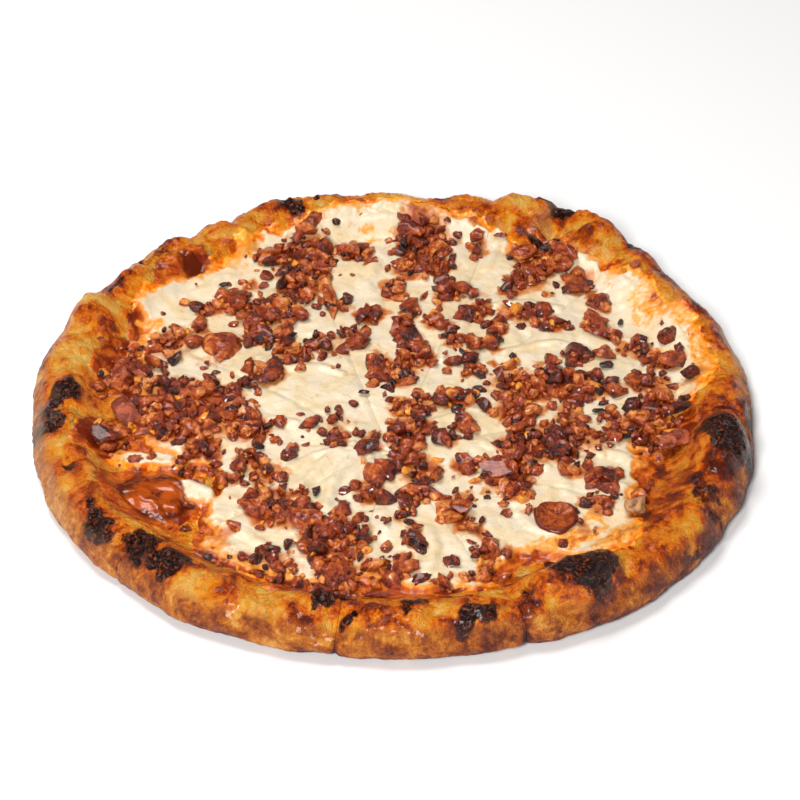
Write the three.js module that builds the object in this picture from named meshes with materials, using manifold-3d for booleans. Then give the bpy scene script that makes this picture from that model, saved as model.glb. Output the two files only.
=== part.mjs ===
// An all-dressed pizza, about 350 mm across, baked with a blistered rim and cut into ten slices
// that still lie together. Each slice of crust, each slice of cheese and each large topping is
// one closed solid. Millimetres, +Z up, origin under the middle of the pizza where it rests.

import * as THREE from "three";
import { mergeVertices } from "three/addons/utils/BufferGeometryUtils.js";
import Module from "manifold-3d";

const wasm = await Module();
wasm.setup();

// ---------- driving dimensions ----------

const PIZZA_RADIUS = 174; // outer edge of the plain rim
const DOUGH_THICKNESS = 8; // flat dough under the toppings
const RIM_HEIGHT = 20; // crest of the plain rim above the table
const RIM_WIDTH = 36; // from the outer edge to the flat dough
const RIM_CREST_INSET = 15; // from the outer edge to the crest
const CRUST_STEPS = 96; // facets round the rim
const CRAG_HEIGHT = 1; // unevenness of the rim between its blisters

const CHEESE_RADIUS = 146; // mean reach of the cheese, partly up the rim
const CHEESE_THICKNESS = 3.6; // cheese and sauce on the dough
const CHEESE_STEPS = 48;
const LAYER_GAP = 0.4; // left between pieces that touch
const CHEESE_RINGS = [40, 75, 108, 133];

const CUT_WIDTH = 1.4; // slit left by the cutter
const CUT_MEETING = { x: 0, y: -40 }; // where the cuts cross, nearer the front than the middle
const CUT_ANGLES = [5, 45, 70.5, 109, 151.5, 186, 224.5, 262, 290, 329]; // at the rim, degrees
const CUT_REACH = 400; // longer than any slice

const CRUMB_COUNT = 88;
const CRUMB_LARGEST = 9.5;
const CRUMB_SMALLEST = 5.5;
const CRUMB_SEED = 7;
const CRUMB_CLEARANCE = 0.8; // to a cut or to a large topping
const CRUMB_BODY = 0.7; // height of a crumb against its length
const CRUMB_REACH = 141; // how far from the middle crumbs lie

// Where the dough was pulled further out than a circle: bearing, spread in degrees and reach.
const EDGE_PULLS = [
  { angle: 312, spread: 26, out: 5.6 },
  { angle: 50, spread: 16, out: 7.5 },
  { angle: 20, spread: 7, out: 1.8 },
  { angle: 73, spread: 9, out: 5.5 },
  { angle: 96, spread: 6, out: 3.2 },
  { angle: 112.5, spread: 8, out: 7 },
  { angle: 121, spread: 3, out: -4.5 },
  { angle: 161, spread: 8, out: 2.5 },
  { angle: 190, spread: 20, out: -1.2 },
  { angle: 245, spread: 14, out: 1.2 },
];

// Blisters and puffs of the rim: angle and radius of the middle, length along the rim,
// width across it, and how far each rises above the plain rim.
const RIM_PUFFS = [
  { angle: 65, radius: 165, length: 36, width: 30, rise: 8.5 }, // torn blister, left lobe
  { angle: 58.5, radius: 172, length: 44, width: 22, rise: 10 }, // its crown behind the tear
  { angle: 51.5, radius: 167, length: 30, width: 26, rise: 5.5 }, // right lobe
  { angle: 42, radius: 168, length: 26, width: 18, rise: 2 },
  { angle: 78, radius: 170, length: 16, width: 12, rise: 2.5 },
  { angle: 103, radius: 168, length: 70, width: 22, rise: 2.5 },
  { angle: 124, radius: 166, length: 22, width: 16, rise: 2.5 },
  { angle: 132, radius: 168, length: 18, width: 16, rise: 3 },
  { angle: 144, radius: 160, length: 22, width: 20, rise: 3 },
  { angle: 156, radius: 165, length: 34, width: 24, rise: 4 }, // peak beside a cut
  { angle: 180, radius: 155, length: 26, width: 18, rise: 3 }, // charred
  { angle: 188, radius: 158, length: 18, width: 16, rise: 3 }, // charred
  { angle: 213, radius: 160, length: 34, width: 14, rise: 2 }, // charred
  { angle: 229, radius: 158, length: 46, width: 18, rise: 3 }, // charred
  { angle: 260, radius: 155, length: 26, width: 16, rise: 3 }, // charred
  { angle: 283, radius: 166, length: 34, width: 16, rise: 3 }, // charred
  { angle: 300.6, radius: 152, length: 46, width: 44, rise: 11 }, // large black blister
  { angle: 331, radius: 158, length: 30, width: 22, rise: 2 },
  { angle: 344.5, radius: 158, length: 46, width: 32, rise: 9 }, // large black blister
  { angle: 355, radius: 168, length: 18, width: 16, rise: 5 },
  { angle: 20, radius: 160, length: 40, width: 18, rise: 2 },
];
const TEAR = { angle: 58.5, radius: 160, length: 15, width: 24, rise: -9 };

// Where the cheese stops short of its mean reach, in degrees and millimetres.
const CHEESE_RECESSES = [
  { angle: 213, spread: 17, depth: 44 }, // the open pool of sauce
  { angle: 176, spread: 20, depth: 22 },
  { angle: 262, spread: 26, depth: 10 },
  { angle: 300, spread: 13, depth: 16 }, // in front of the black blister
  { angle: 340, spread: 17, depth: 18 },
  { angle: 132, spread: 14, depth: 14 },
  { angle: 60, spread: 6, depth: 6 },
  { angle: 90, spread: 16, depth: -8 }, // here it climbs the rim
];

// Puddles where the cheese stands thicker: middle, half width and rise.
const CHEESE_SWELLS = [
  { x: -42, y: 8, size: 34, rise: 1.6 },
  { x: 12, y: 128, size: 30, rise: 0.8 },
  { x: 75, y: 30, size: 32, rise: 0.9 },
  { x: -25, y: -52, size: 24, rise: 1.2 },
  { x: 25, y: -110, size: 30, rise: 0.9 },
  { x: 100, y: 95, size: 26, rise: 0.6 },
];

// Heaps of crumbled bacon: middle, half length, half width, turn and share of the crumbs.
const BACON_HEAPS = [
  { x: -105, y: -12, length: 40, width: 28, turn: 0, share: 8 },
  { x: -52, y: 105, length: 20, width: 32, turn: 10, share: 5 },
  { x: 18, y: 130, length: 18, width: 28, turn: 0, share: 4 },
  { x: 8, y: 20, length: 16, width: 44, turn: 0, share: 5 },
  { x: 100, y: -12, length: 56, width: 22, turn: -8, share: 11 },
  { x: -28, y: -98, length: 22, width: 24, turn: 0, share: 4 },
  { x: 74, y: 112, length: 18, width: 24, turn: 0, share: 4 },
  { x: 62, y: 62, length: 28, width: 14, turn: -12, share: 3 },
  { x: -75, y: 52, length: 34, width: 18, turn: 15, share: 5 },
  { x: 45, y: -40, length: 22, width: 24, turn: 0, share: 4 },
  { x: 130, y: 35, length: 18, width: 14, turn: 0, share: 2 },
  { x: 0, y: 0, length: 130, width: 130, turn: 0, share: 15 }, // strewn over the whole
];

// ---------- toppings large enough to pick off ----------

// Each lies on the cheese: middle, length, width, height and turn in degrees.
const BACON_CHUNKS = [
  { x: 10, y: 141, length: 15, width: 13, height: 8, turn: 60 },
  { x: 94, y: 94, length: 14, width: 13, height: 8, turn: 90 },
  { x: 106, y: 79, length: 13, width: 11, height: 8, turn: 70 },
  { x: 103, y: 57, length: 20, width: 10, height: 7, turn: -60 },
  { x: 91, y: 37, length: 14, width: 13, height: 7, turn: 10 },
  { x: 138, y: 46, length: 12, width: 10, height: 7, turn: 60 },
  { x: 139, y: 29, length: 13, width: 11, height: 7, turn: -30 },
  { x: 28, y: 92, length: 14, width: 13, height: 8, turn: 80 },
  { x: 70, y: 122, length: 15, width: 12, height: 8, turn: -20 },
  { x: 90, y: 118, length: 15, width: 11, height: 8, turn: -50 },
  { x: 38, y: 70, length: 14, width: 10, height: 8, turn: 80 },
  { x: 10, y: 50, length: 17, width: 12, height: 8, turn: 70 },
  { x: 79, y: 23, length: 11, width: 10, height: 6, turn: 0 },
  { x: 72, y: 103, length: 15, width: 13, height: 8, turn: 20 },
  { x: 37, y: -21, length: 12, width: 11, height: 6, turn: -40 },
  { x: 51, y: -57, length: 18, width: 13, height: 8, turn: -35 },
  { x: 101, y: -59, length: 12, width: 12, height: 8, turn: 0 },
  { x: 11, y: -106, length: 15, width: 9, height: 7, turn: -55 },
  { x: 6, y: -124, length: 13, width: 10, height: 6, turn: 60 },
  { x: -21, y: 126, length: 15, width: 13, height: 9, turn: 40 },
  { x: -62, y: 119, length: 16, width: 13, height: 8, turn: -20 },
  { x: -79, y: 82, length: 18, width: 12, height: 8, turn: 70 },
  { x: -64, y: 52, length: 15, width: 12, height: 7, turn: -45 },
  { x: -59, y: 20, length: 20, width: 10, height: 8, turn: 55 },
  { x: -136, y: -31, length: 13, width: 12, height: 6, turn: 0 },
  { x: -61, y: -83, length: 18, width: 12, height: 8, turn: -60 },
  { x: -40, y: -91, length: 16, width: 14, height: 7, turn: 0 },
  { x: -24, y: -127, length: 18, width: 15, height: 9, turn: 80 },
  { x: -2, y: -56, length: 14, width: 13, height: 7, turn: 50 },
  { x: -13, y: -40, length: 13, width: 11, height: 7, turn: 15 },
  { x: -67, y: -21, length: 17, width: 14, height: 7, turn: -40 },
];
const HAM_PIECES = [
  { x: -129, y: -7, length: 20, width: 15, height: 7, turn: -60 },
  { x: -131, y: 17, length: 16, width: 10, height: 6, turn: -70 },
  { x: -42, y: 146, length: 17, width: 12, height: 7, turn: 65 },
  { x: 135, y: -33, length: 17, width: 11, height: 6, turn: 35 },
];
const GLAZED_CHUNK = { x: -85, y: 43, length: 20, width: 15, height: 9, turn: -15 };
const MUSHROOM_PIECE = { x: 112, y: -84, length: 15, width: 12, height: 7, turn: 10 };
const BACON_STRIP = { x: -31, y: 82, length: 26, width: 6, height: 6, turn: 100 };
const PEPPERONI_SLICE = { x: 76, y: -90, radius: 11, thickness: 3, sag: 1.2 };
const BACON_ARC = { x: 12, y: -83, radius: 14, bar: 3.6, from: 15, sweep: 110 };

// ---------- colours of the baked food, as they show in daylight ----------

const CRUST_COLOUR = 0xd08538;
const CHEESE_COLOUR = 0xecd9b4;
const BACON_COLOUR = 0x8e3a1e;
const HAM_COLOUR = 0xb5705a;
const GLAZED_COLOUR = 0xa4581f;
const MUSHROOM_COLOUR = 0xb58a62;
const PEPPERONI_COLOUR = 0x9a4220;

// ---------- small tools ----------

const radians = THREE.MathUtils.degToRad;
const smoothstep = THREE.MathUtils.smoothstep;

// A seeded draw between 0 and 1.
function drawFrom(seed) {
  let state = seed;
  return () => {
    state = (state * 1664525 + 1013904223) % 4294967296;
    return state / 4294967296;
  };
}

// An uneven swell between about -1 and 1, the same for the same place.
function ripple(x, y, wave) {
  const across = Math.sin(x / wave + 1.7 * Math.sin((0.8 * y) / wave + 0.6));
  const along = Math.sin((1.13 * y) / wave + 1.3 * Math.sin((0.7 * x) / wave + 2.1));
  return (across + along) / 2;
}

// The turn from one bearing to another, between -180 and 180 degrees.
function bearingTo(angle, other) {
  return THREE.MathUtils.euclideanModulo(angle - other + 180, 360) - 180;
}

// How much a dome or hollow lifts the surface at a bearing and radius.
function domeAt(dome, angle, radius) {
  const along = (radians(bearingTo(angle, dome.angle)) * dome.radius) / (dome.length / 2);
  const across = (radius - dome.radius) / (dome.width / 2);
  const inside = 1 - along * along - across * across;
  return inside > 0 ? dome.rise * inside ** 0.8 : 0;
}

// A closed geometry as a solid for joining and cutting.
function solidOf(geometry) {
  const bare = geometry.clone();
  bare.deleteAttribute("normal");
  bare.deleteAttribute("uv");
  const merged = mergeVertices(bare, 1e-3);
  const vertProperties = new Float32Array(merged.attributes.position.array);
  const triVerts = new Uint32Array(merged.index.array);
  return new wasm.Manifold(new wasm.Mesh({ numProp: 3, vertProperties, triVerts }));
}

// The largest body of a solid, without the scraps that a cut leaves.
function largestBody(solid) {
  const bodies = solid.decompose();
  return bodies.reduce((best, body) => (body.volume() > best.volume() ? body : best));
}

function namedMesh(name, solid, colour, roughness) {
  const made = solid.getMesh();
  const geometry = new THREE.BufferGeometry();
  geometry.setAttribute("position", new THREE.BufferAttribute(made.vertProperties, 3));
  geometry.setIndex(new THREE.BufferAttribute(made.triVerts, 1));
  geometry.computeVertexNormals();
  const material = new THREE.MeshStandardMaterial({ color: colour, roughness, metalness: 0 });
  const mesh = new THREE.Mesh(geometry, material);
  mesh.name = name;
  return mesh;
}

// Turns a profile round the vertical axis and then moves each point by a rule.
function turned(profile, steps, move) {
  const points = profile.map(([radius, height]) => new THREE.Vector2(radius, height));
  const geometry = new THREE.LatheGeometry(points, steps);
  geometry.rotateX(Math.PI / 2);
  const place = geometry.attributes.position;
  const point = new THREE.Vector3();
  for (let i = 0; i < place.count; i += 1) {
    point.fromBufferAttribute(place, i);
    move(point);
    place.setXYZ(i, point.x, point.y, point.z);
  }
  return geometry;
}

// ---------- crust ----------

// The profile from the middle of the underside, round the rim, to the middle of the dough.
const SIDE = PIZZA_RADIUS;
const CREST = PIZZA_RADIUS - RIM_CREST_INSET;
const INNER = PIZZA_RADIUS - RIM_WIDTH;
const CRUST_PROFILE = [
  [0, 0],
  [SIDE - 9, 0],
  [SIDE - 3, 1.6],
  [SIDE - 0.4, 4.5],
  [SIDE, 8],
  [SIDE - 1.5, 12],
  [SIDE - 5, 16],
  [SIDE - 9.5, 19],
  [CREST, RIM_HEIGHT],
  [CREST - 6, RIM_HEIGHT - 1],
  [CREST - 11, RIM_HEIGHT - 4],
  [CREST - 15.5, RIM_HEIGHT - 8],
  [INNER, DOUGH_THICKNESS + 0.5],
  [INNER - 8, DOUGH_THICKNESS],
  [0, DOUGH_THICKNESS],
];

// How far the outer edge stands beyond the plain radius at a bearing.
function edgeOffset(angle) {
  const wander = 0.7 + 0.5 * Math.sin(radians(11 * angle)) + 0.4 * Math.sin(radians(17 * angle));
  return EDGE_PULLS.reduce(
    (sum, pull) => sum + pull.out * Math.exp(-((bearingTo(angle, pull.angle) / pull.spread) ** 2)),
    wander,
  );
}

function nearestCut(angle) {
  return Math.min(...CUT_ANGLES.map((cut) => Math.abs(bearingTo(angle, cut))));
}

function moveCrustPoint(point) {
  const radius = Math.hypot(point.x, point.y);
  const angle = THREE.MathUtils.radToDeg(Math.atan2(point.y, point.x));
  const onRim = smoothstep(radius, INNER - 8, CREST);
  const isTop = smoothstep(point.z, DOUGH_THICKNESS, RIM_HEIGHT - 3);
  const pinch = 1.8 * Math.exp(-((nearestCut(angle) / 2.2) ** 2));
  const puffs = RIM_PUFFS.reduce((sum, puff) => sum + domeAt(puff, angle, radius), 0);
  const crag = CRAG_HEIGHT * ripple(point.x, point.y, 5) + CRAG_HEIGHT * ripple(point.y, point.x, 9);
  const backRise = 1.5 * Math.max(0, Math.sin(radians(angle)));
  const lift = (puffs + domeAt(TEAR, angle, radius) + crag + backRise - pinch) * isTop;
  const bulge = onRim * (edgeOffset(angle) + 0.12 * puffs * isTop + 0.5 * crag);
  const grown = (radius + bulge) / Math.max(radius, 1);
  point.x *= grown;
  point.y *= grown;
  point.z += lift * onRim;
}

// ---------- cheese ----------

function cheeseEdge(angle) {
  const recess = CHEESE_RECESSES.reduce(
    (sum, part) => sum + part.depth * Math.exp(-((bearingTo(angle, part.angle) / part.spread) ** 2)),
    0,
  );
  return CHEESE_RADIUS - recess + 3 * Math.sin(radians(5 * angle)) + 2 * Math.sin(radians(13 * angle));
}

// The level of the cheese above the table, away from its edge.
function cheeseLevel(x, y) {
  const swell = CHEESE_SWELLS.reduce((sum, part) => {
    const away = Math.hypot(x - part.x, y - part.y) / part.size;
    return sum + part.rise * Math.exp(-away * away);
  }, 0);
  return DOUGH_THICKNESS + CHEESE_THICKNESS + swell + 0.5 * ripple(x, y, 9);
}

// The lens of cheese: a flat underside sunk in the dough, to be cut away, and a melted top.
const LENS_EDGE = CHEESE_RADIUS;
const CHEESE_PROFILE = [
  [0, 2],
  [LENS_EDGE, 2],
  [LENS_EDGE, DOUGH_THICKNESS + 1.4],
  [LENS_EDGE - 3, DOUGH_THICKNESS + 3],
  ...CHEESE_RINGS.toReversed().map((ring) => [ring, DOUGH_THICKNESS + CHEESE_THICKNESS]),
  [0, DOUGH_THICKNESS + CHEESE_THICKNESS],
];

function moveCheesePoint(point) {
  const radius = Math.hypot(point.x, point.y);
  const angle = THREE.MathUtils.radToDeg(Math.atan2(point.y, point.x));
  const outer = smoothstep(radius, 60, LENS_EDGE);
  const reach = 1 + ((cheeseEdge(angle) - LENS_EDGE) / LENS_EDGE) * outer;
  point.x *= reach;
  point.y *= reach;
  if (point.z > DOUGH_THICKNESS) {
    const climb = 7 * smoothstep(Math.hypot(point.x, point.y), INNER, INNER + 14);
    const level = cheeseLevel(point.x, point.y) - DOUGH_THICKNESS - CHEESE_THICKNESS;
    point.z += level + climb;
  }
}

// ---------- slices ----------

// The flat wedge between two cuts, less half a slit on each side, as tall as anything.
function wedgeBetween(from, to) {
  const rim = [from, to].map((angle) => {
    const x = PIZZA_RADIUS * Math.cos(radians(angle)) - CUT_MEETING.x;
    const y = PIZZA_RADIUS * Math.sin(radians(angle)) - CUT_MEETING.y;
    return new THREE.Vector2(x, y).normalize();
  });
  const halfTurn = Math.acos(rim[0].dot(rim[1])) / 2;
  const middle = rim[0].clone().add(rim[1]).normalize();
  const tip = middle.clone().multiplyScalar(CUT_WIDTH / 2 / Math.sin(halfTurn));
  tip.add(CUT_MEETING);
  const ends = rim.map((way) => tip.clone().addScaledVector(way, CUT_REACH));
  const outline = new THREE.Shape([tip, ...ends]);
  const height = 80;
  const wedge = new THREE.ExtrudeGeometry(outline, { depth: height, bevelEnabled: false });
  wedge.translate(0, 0, -height / 4);
  return solidOf(wedge);
}

// How far a point lies from the nearest cut.
function distanceToCut(x, y) {
  const distances = CUT_ANGLES.map((angle) => {
    const way = new THREE.Vector2(
      PIZZA_RADIUS * Math.cos(radians(angle)) - CUT_MEETING.x,
      PIZZA_RADIUS * Math.sin(radians(angle)) - CUT_MEETING.y,
    ).normalize();
    const offset = new THREE.Vector2(x - CUT_MEETING.x, y - CUT_MEETING.y);
    return offset.dot(way) > 0 ? Math.abs(offset.cross(way)) : offset.length();
  });
  return Math.min(...distances);
}

// ---------- toppings ----------

// A rough nugget: an icosahedron pushed in and out by a seeded rule.
function nugget(length, width, height, turn, detail, seed) {
  const draw = drawFrom(seed);
  const phase = [draw() * 9, draw() * 9, draw() * 9];
  const geometry = new THREE.IcosahedronGeometry(0.5, detail);
  const place = geometry.attributes.position;
  for (let i = 0; i < place.count; i += 1) {
    const [x, y, z] = [place.getX(i), place.getY(i), place.getZ(i)];
    const bump = Math.sin(7 * x + phase[0]) + Math.sin(8 * y + phase[1]) + Math.sin(7 * z + phase[2]);
    const swell = 1 + 0.13 * bump;
    place.setXYZ(i, x * swell * length, y * swell * width, z * swell * height);
  }
  geometry.rotateZ(radians(turn));
  return geometry;
}

// A round slice with a low cupped edge.
function roundSlice(radius, thickness, sag) {
  const profile = [
    [0, -sag],
    [0.6 * radius, -0.6 * sag],
    [0.94 * radius, 0],
    [radius, 0.5 * thickness],
    [0.9 * radius, thickness],
    [0.55 * radius, thickness - 0.7 * sag],
    [0, thickness - sag],
  ];
  return turned(profile, 20, () => {});
}

// A bent strip lying on its side: a round bar swept along an arc.
function bentStrip(radius, bar, from, sweep) {
  const arc = new THREE.EllipseCurve(0, 0, radius, radius, radians(from), radians(from + sweep));
  const way = new THREE.CatmullRomCurve3(
    arc.getPoints(8).map((point) => new THREE.Vector3(point.x, point.y, 0)),
  );
  const section = new THREE.Shape();
  section.absellipse(0, 0, bar / 2, bar / 2, 0, 2 * Math.PI);
  return new THREE.ExtrudeGeometry(section, { extrudePath: way, steps: 9, curveSegments: 4 });
}

// ---------- putting it together ----------

const crustGeometry = turned(CRUST_PROFILE, CRUST_STEPS, moveCrustPoint);
const crust = solidOf(crustGeometry);
const crustCutter = crust.translate([0, 0, LAYER_GAP]);

const cheeseGeometry = turned(CHEESE_PROFILE, CHEESE_STEPS, moveCheesePoint);
const cheese = largestBody(solidOf(cheeseGeometry).subtract(crustCutter));
const bed = crust.add(solidOf(cheeseGeometry)).translate([0, 0, LAYER_GAP]);

// Every large topping, cut to the ground it lies on, with the room it takes.
const toppings = [];

function addTopping(name, geometry, place, lift, colour, roughness) {
  geometry.translate(place.x, place.y, cheeseLevel(place.x, place.y) + lift);
  const solid = largestBody(solidOf(geometry).subtract(bed));
  const room = place.radius ? place.radius + (place.bar ?? 0) : place.length / 2;
  toppings.push({ ...place, room, mesh: namedMesh(name, solid, colour, roughness) });
}

function addNugget(name, place, index, colour, roughness) {
  const { length, width, height, turn } = place;
  const geometry = nugget(length, width, height, turn, 1, 31 + 17 * index);
  const edge = smoothstep(Math.hypot(place.x, place.y), INNER - 8, INNER + 12);
  addTopping(name, geometry, place, 0.2 * height + 5 * edge, colour, roughness);
}

BACON_CHUNKS.forEach((place, index) => {
  const name = `bacon_chunk_${String(index + 1).padStart(2, "0")}`;
  addNugget(name, place, index, BACON_COLOUR, 0.45);
});
HAM_PIECES.forEach((place, index) => {
  addNugget(`ham_piece_${index + 1}`, place, 50 + index, HAM_COLOUR, 0.4);
});
addNugget("glazed_chunk", GLAZED_CHUNK, 60, GLAZED_COLOUR, 0.3);
addNugget("mushroom_piece", MUSHROOM_PIECE, 61, MUSHROOM_COLOUR, 0.5);
addNugget("bacon_strip", BACON_STRIP, 62, BACON_COLOUR, 0.45);
const pepperoniShape = roundSlice(
  PEPPERONI_SLICE.radius,
  PEPPERONI_SLICE.thickness,
  PEPPERONI_SLICE.sag,
);
addTopping("pepperoni_slice", pepperoniShape, PEPPERONI_SLICE, -0.6, PEPPERONI_COLOUR, 0.35);
const arcShape = bentStrip(BACON_ARC.radius, BACON_ARC.bar, BACON_ARC.from, BACON_ARC.sweep);
addTopping("bacon_arc", arcShape, BACON_ARC, 0.8, BACON_COLOUR, 0.45);

// Crumbled bacon baked into the cheese: the largest first, drawn from the heaps.
function drawCrumbPlace(draw) {
  const shares = BACON_HEAPS.reduce((sum, heap) => sum + heap.share, 0);
  let pick = draw() * shares;
  const heap = BACON_HEAPS.find((part) => (pick -= part.share) < 0);
  const reach = Math.sqrt(draw());
  const around = 2 * Math.PI * draw();
  const along = heap.length * reach * Math.cos(around);
  const across = heap.width * reach * Math.sin(around);
  const turn = radians(heap.turn);
  const x = heap.x + along * Math.cos(turn) - across * Math.sin(turn);
  const y = heap.y + along * Math.sin(turn) + across * Math.cos(turn);
  return { x, y };
}

function crumbFits(place, taken) {
  const angle = THREE.MathUtils.radToDeg(Math.atan2(place.y, place.x));
  const edge = Math.min(cheeseEdge(angle) - 5, CRUMB_REACH);
  if (Math.hypot(place.x, place.y) + place.room > edge) return false;
  if (distanceToCut(place.x, place.y) < place.room + CUT_WIDTH / 2 + CRUMB_CLEARANCE) return false;
  return [...toppings, ...taken].every((other) => {
    const apart = Math.hypot(place.x - other.x, place.y - other.y);
    return apart > place.room + other.room + CRUMB_CLEARANCE;
  });
}

function scatterCrumbs() {
  const draw = drawFrom(CRUMB_SEED);
  const taken = [];
  const solids = [];
  for (let tries = 0; tries < 9000 && taken.length < CRUMB_COUNT; tries += 1) {
    const done = taken.length / CRUMB_COUNT;
    const length = THREE.MathUtils.lerp(CRUMB_LARGEST, CRUMB_SMALLEST, done);
    const place = { ...drawCrumbPlace(draw), room: length / 2 };
    if (!crumbFits(place, taken)) continue;
    const height = CRUMB_BODY * length;
    const width = length * (0.65 + 0.3 * draw());
    const geometry = nugget(length, width, height, 360 * draw(), 0, 400 + taken.length);
    geometry.translate(place.x, place.y, cheeseLevel(place.x, place.y) + 0.12 * height);
    taken.push(place);
    solids.push(solidOf(geometry));
  }
  return solids;
}

const dressedCheese = wasm.Manifold.union([cheese, ...scatterCrumbs()]);

const pizza = new THREE.Group();
CUT_ANGLES.forEach((from, index) => {
  const to = CUT_ANGLES[(index + 1) % CUT_ANGLES.length];
  const wedge = wedgeBetween(from, to);
  const number = String(index + 1).padStart(2, "0");
  const crustSlice = largestBody(crust.intersect(wedge));
  const cheeseSlice = largestBody(dressedCheese.intersect(wedge));
  pizza.add(namedMesh(`crust_slice_${number}`, crustSlice, CRUST_COLOUR, 0.75));
  pizza.add(namedMesh(`cheese_slice_${number}`, cheeseSlice, CHEESE_COLOUR, 0.5));
});
toppings.forEach((topping) => pizza.add(topping.mesh));

export default pizza;
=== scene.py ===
import math

import bmesh
import bpy
import numpy as np
from mathutils import Matrix


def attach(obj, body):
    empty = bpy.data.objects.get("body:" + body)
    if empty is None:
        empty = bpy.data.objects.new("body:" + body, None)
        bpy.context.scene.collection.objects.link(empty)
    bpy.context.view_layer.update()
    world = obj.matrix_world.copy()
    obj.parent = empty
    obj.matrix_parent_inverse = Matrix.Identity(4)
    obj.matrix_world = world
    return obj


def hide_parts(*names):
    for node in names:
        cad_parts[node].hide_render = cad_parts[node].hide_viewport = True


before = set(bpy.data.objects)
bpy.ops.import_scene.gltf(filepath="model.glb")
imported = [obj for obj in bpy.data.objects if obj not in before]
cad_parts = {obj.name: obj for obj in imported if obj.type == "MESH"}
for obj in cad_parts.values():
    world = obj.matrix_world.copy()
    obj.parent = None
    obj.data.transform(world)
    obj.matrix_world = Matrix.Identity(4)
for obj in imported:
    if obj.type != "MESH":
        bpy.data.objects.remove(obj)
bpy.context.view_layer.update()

# ---------- camera, table and daylight ----------
# A long lens looks down on the pizza from the front. It lies on a white table top, lit by a large
# soft window behind on the left and a smaller lamp in front on the left, in a white room.
MM = 0.001
VIEW_CENTRE = (4.4 * MM, 0.0, 12 * MM)
VIEW_DISTANCE = 1330 * MM
VIEW_ELEVATION = math.radians(37.5)
LENS = 123.7
TABLE_RADIUS = 4.0
TABLE_STEPS = 64
TABLE_WHITE = 0.93
WINDOW_PLACE = (-0.42, 0.4, 1.58)
WINDOW_SIZE = 0.95
WINDOW_WATTS = 21
FRONT_PLACE = (-0.3, -1.38, 1.1)
FRONT_SIZE = 0.45
FRONT_WATTS = 28
ROOM_LIGHT = 0.11

scene = bpy.context.scene
camera = bpy.data.objects.new("camera", bpy.data.cameras.new("camera"))
camera.data.lens = LENS
camera.data.sensor_width = 36
camera.data.clip_start = 0.05
camera.location = (
    VIEW_CENTRE[0],
    VIEW_CENTRE[1] - VIEW_DISTANCE * math.cos(VIEW_ELEVATION),
    VIEW_CENTRE[2] + VIEW_DISTANCE * math.sin(VIEW_ELEVATION),
)
camera.rotation_euler = (math.pi / 2 - VIEW_ELEVATION, 0, 0)
scene.collection.objects.link(camera)
scene.camera = camera
scene.view_settings.view_transform = "Standard"


def shine_from(name, place, size, watts, colour):
    lamp = bpy.data.objects.new(name, bpy.data.lights.new(name, "AREA"))
    lamp.data.shape = "DISK"
    lamp.data.size = size
    lamp.data.energy = watts
    lamp.data.color = colour
    lamp.location = place
    lamp.rotation_euler = (-lamp.location).to_track_quat("-Z", "Y").to_euler()
    scene.collection.objects.link(lamp)


shine_from("window", WINDOW_PLACE, WINDOW_SIZE, WINDOW_WATTS, (1.0, 0.99, 0.975))
shine_from("front_fill", FRONT_PLACE, FRONT_SIZE, FRONT_WATTS, (1.0, 0.99, 0.98))
world = bpy.data.worlds.new("white_room")
world.use_nodes = True
room = world.node_tree.nodes["Background"]
room.inputs["Color"].default_value = (1, 1, 1, 1)
room.inputs["Strength"].default_value = ROOM_LIGHT
scene.world = world


def fresh_material(name, **settings):
    """A new material, its node tree and its shader, with the shader's sockets set by name."""
    material = bpy.data.materials.new(name)
    material.use_nodes = True
    shader = material.node_tree.nodes["Principled BSDF"]
    for socket, value in settings.items():
        shader.inputs[socket.replace("_", " ")].default_value = value
    return material, material.node_tree, shader


def mesh_object(name, bm, material):
    """Turns a bmesh into a smooth-shaded piece with one material."""
    mesh = bpy.data.meshes.new(name)
    bm.to_mesh(mesh)
    bm.free()
    mesh.polygons.foreach_set("use_smooth", np.ones(len(mesh.polygons), bool))
    mesh.materials.append(material)
    piece = bpy.data.objects.new(name, mesh)
    scene.collection.objects.link(piece)
    return piece


bm = bmesh.new()
bmesh.ops.create_circle(bm, cap_ends=True, segments=TABLE_STEPS, radius=TABLE_RADIUS)
white_table = fresh_material("white_table", Base_Color=(TABLE_WHITE, TABLE_WHITE, TABLE_WHITE, 1), Roughness=0.6)[0]
table = mesh_object("table_top", bm, white_table)

# ---------- dough ----------
# A hand-stretched round of dough with a puffed rim, baked until its blisters charred, and cut
# into ten slices with a wheel. Each slice is its own piece: wheat dough, oily on top, dry outside.
PIZZA_RADIUS = 174
DOUGH_THICKNESS = 8
RIM_HEIGHT = 20
CREST = PIZZA_RADIUS - 15
INNER = PIZZA_RADIUS - 36
CUT_MEETING = (0, -40)
CUT_ANGLES = [5, 45, 70.5, 109, 151.5, 186, 224.5, 262, 290, 329]
CRUST_SLIT = 0.2
CRUST_STEPS = 1150
CRAG_HEIGHT = 1
# A puff that rises more than this has steep sides. Past the next height the puffs flatten, by the last.
STEEP_RISE = 8.6
FLATTENED_ABOVE = 27.5
FLATTENED_OVER = 3.5

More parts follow.
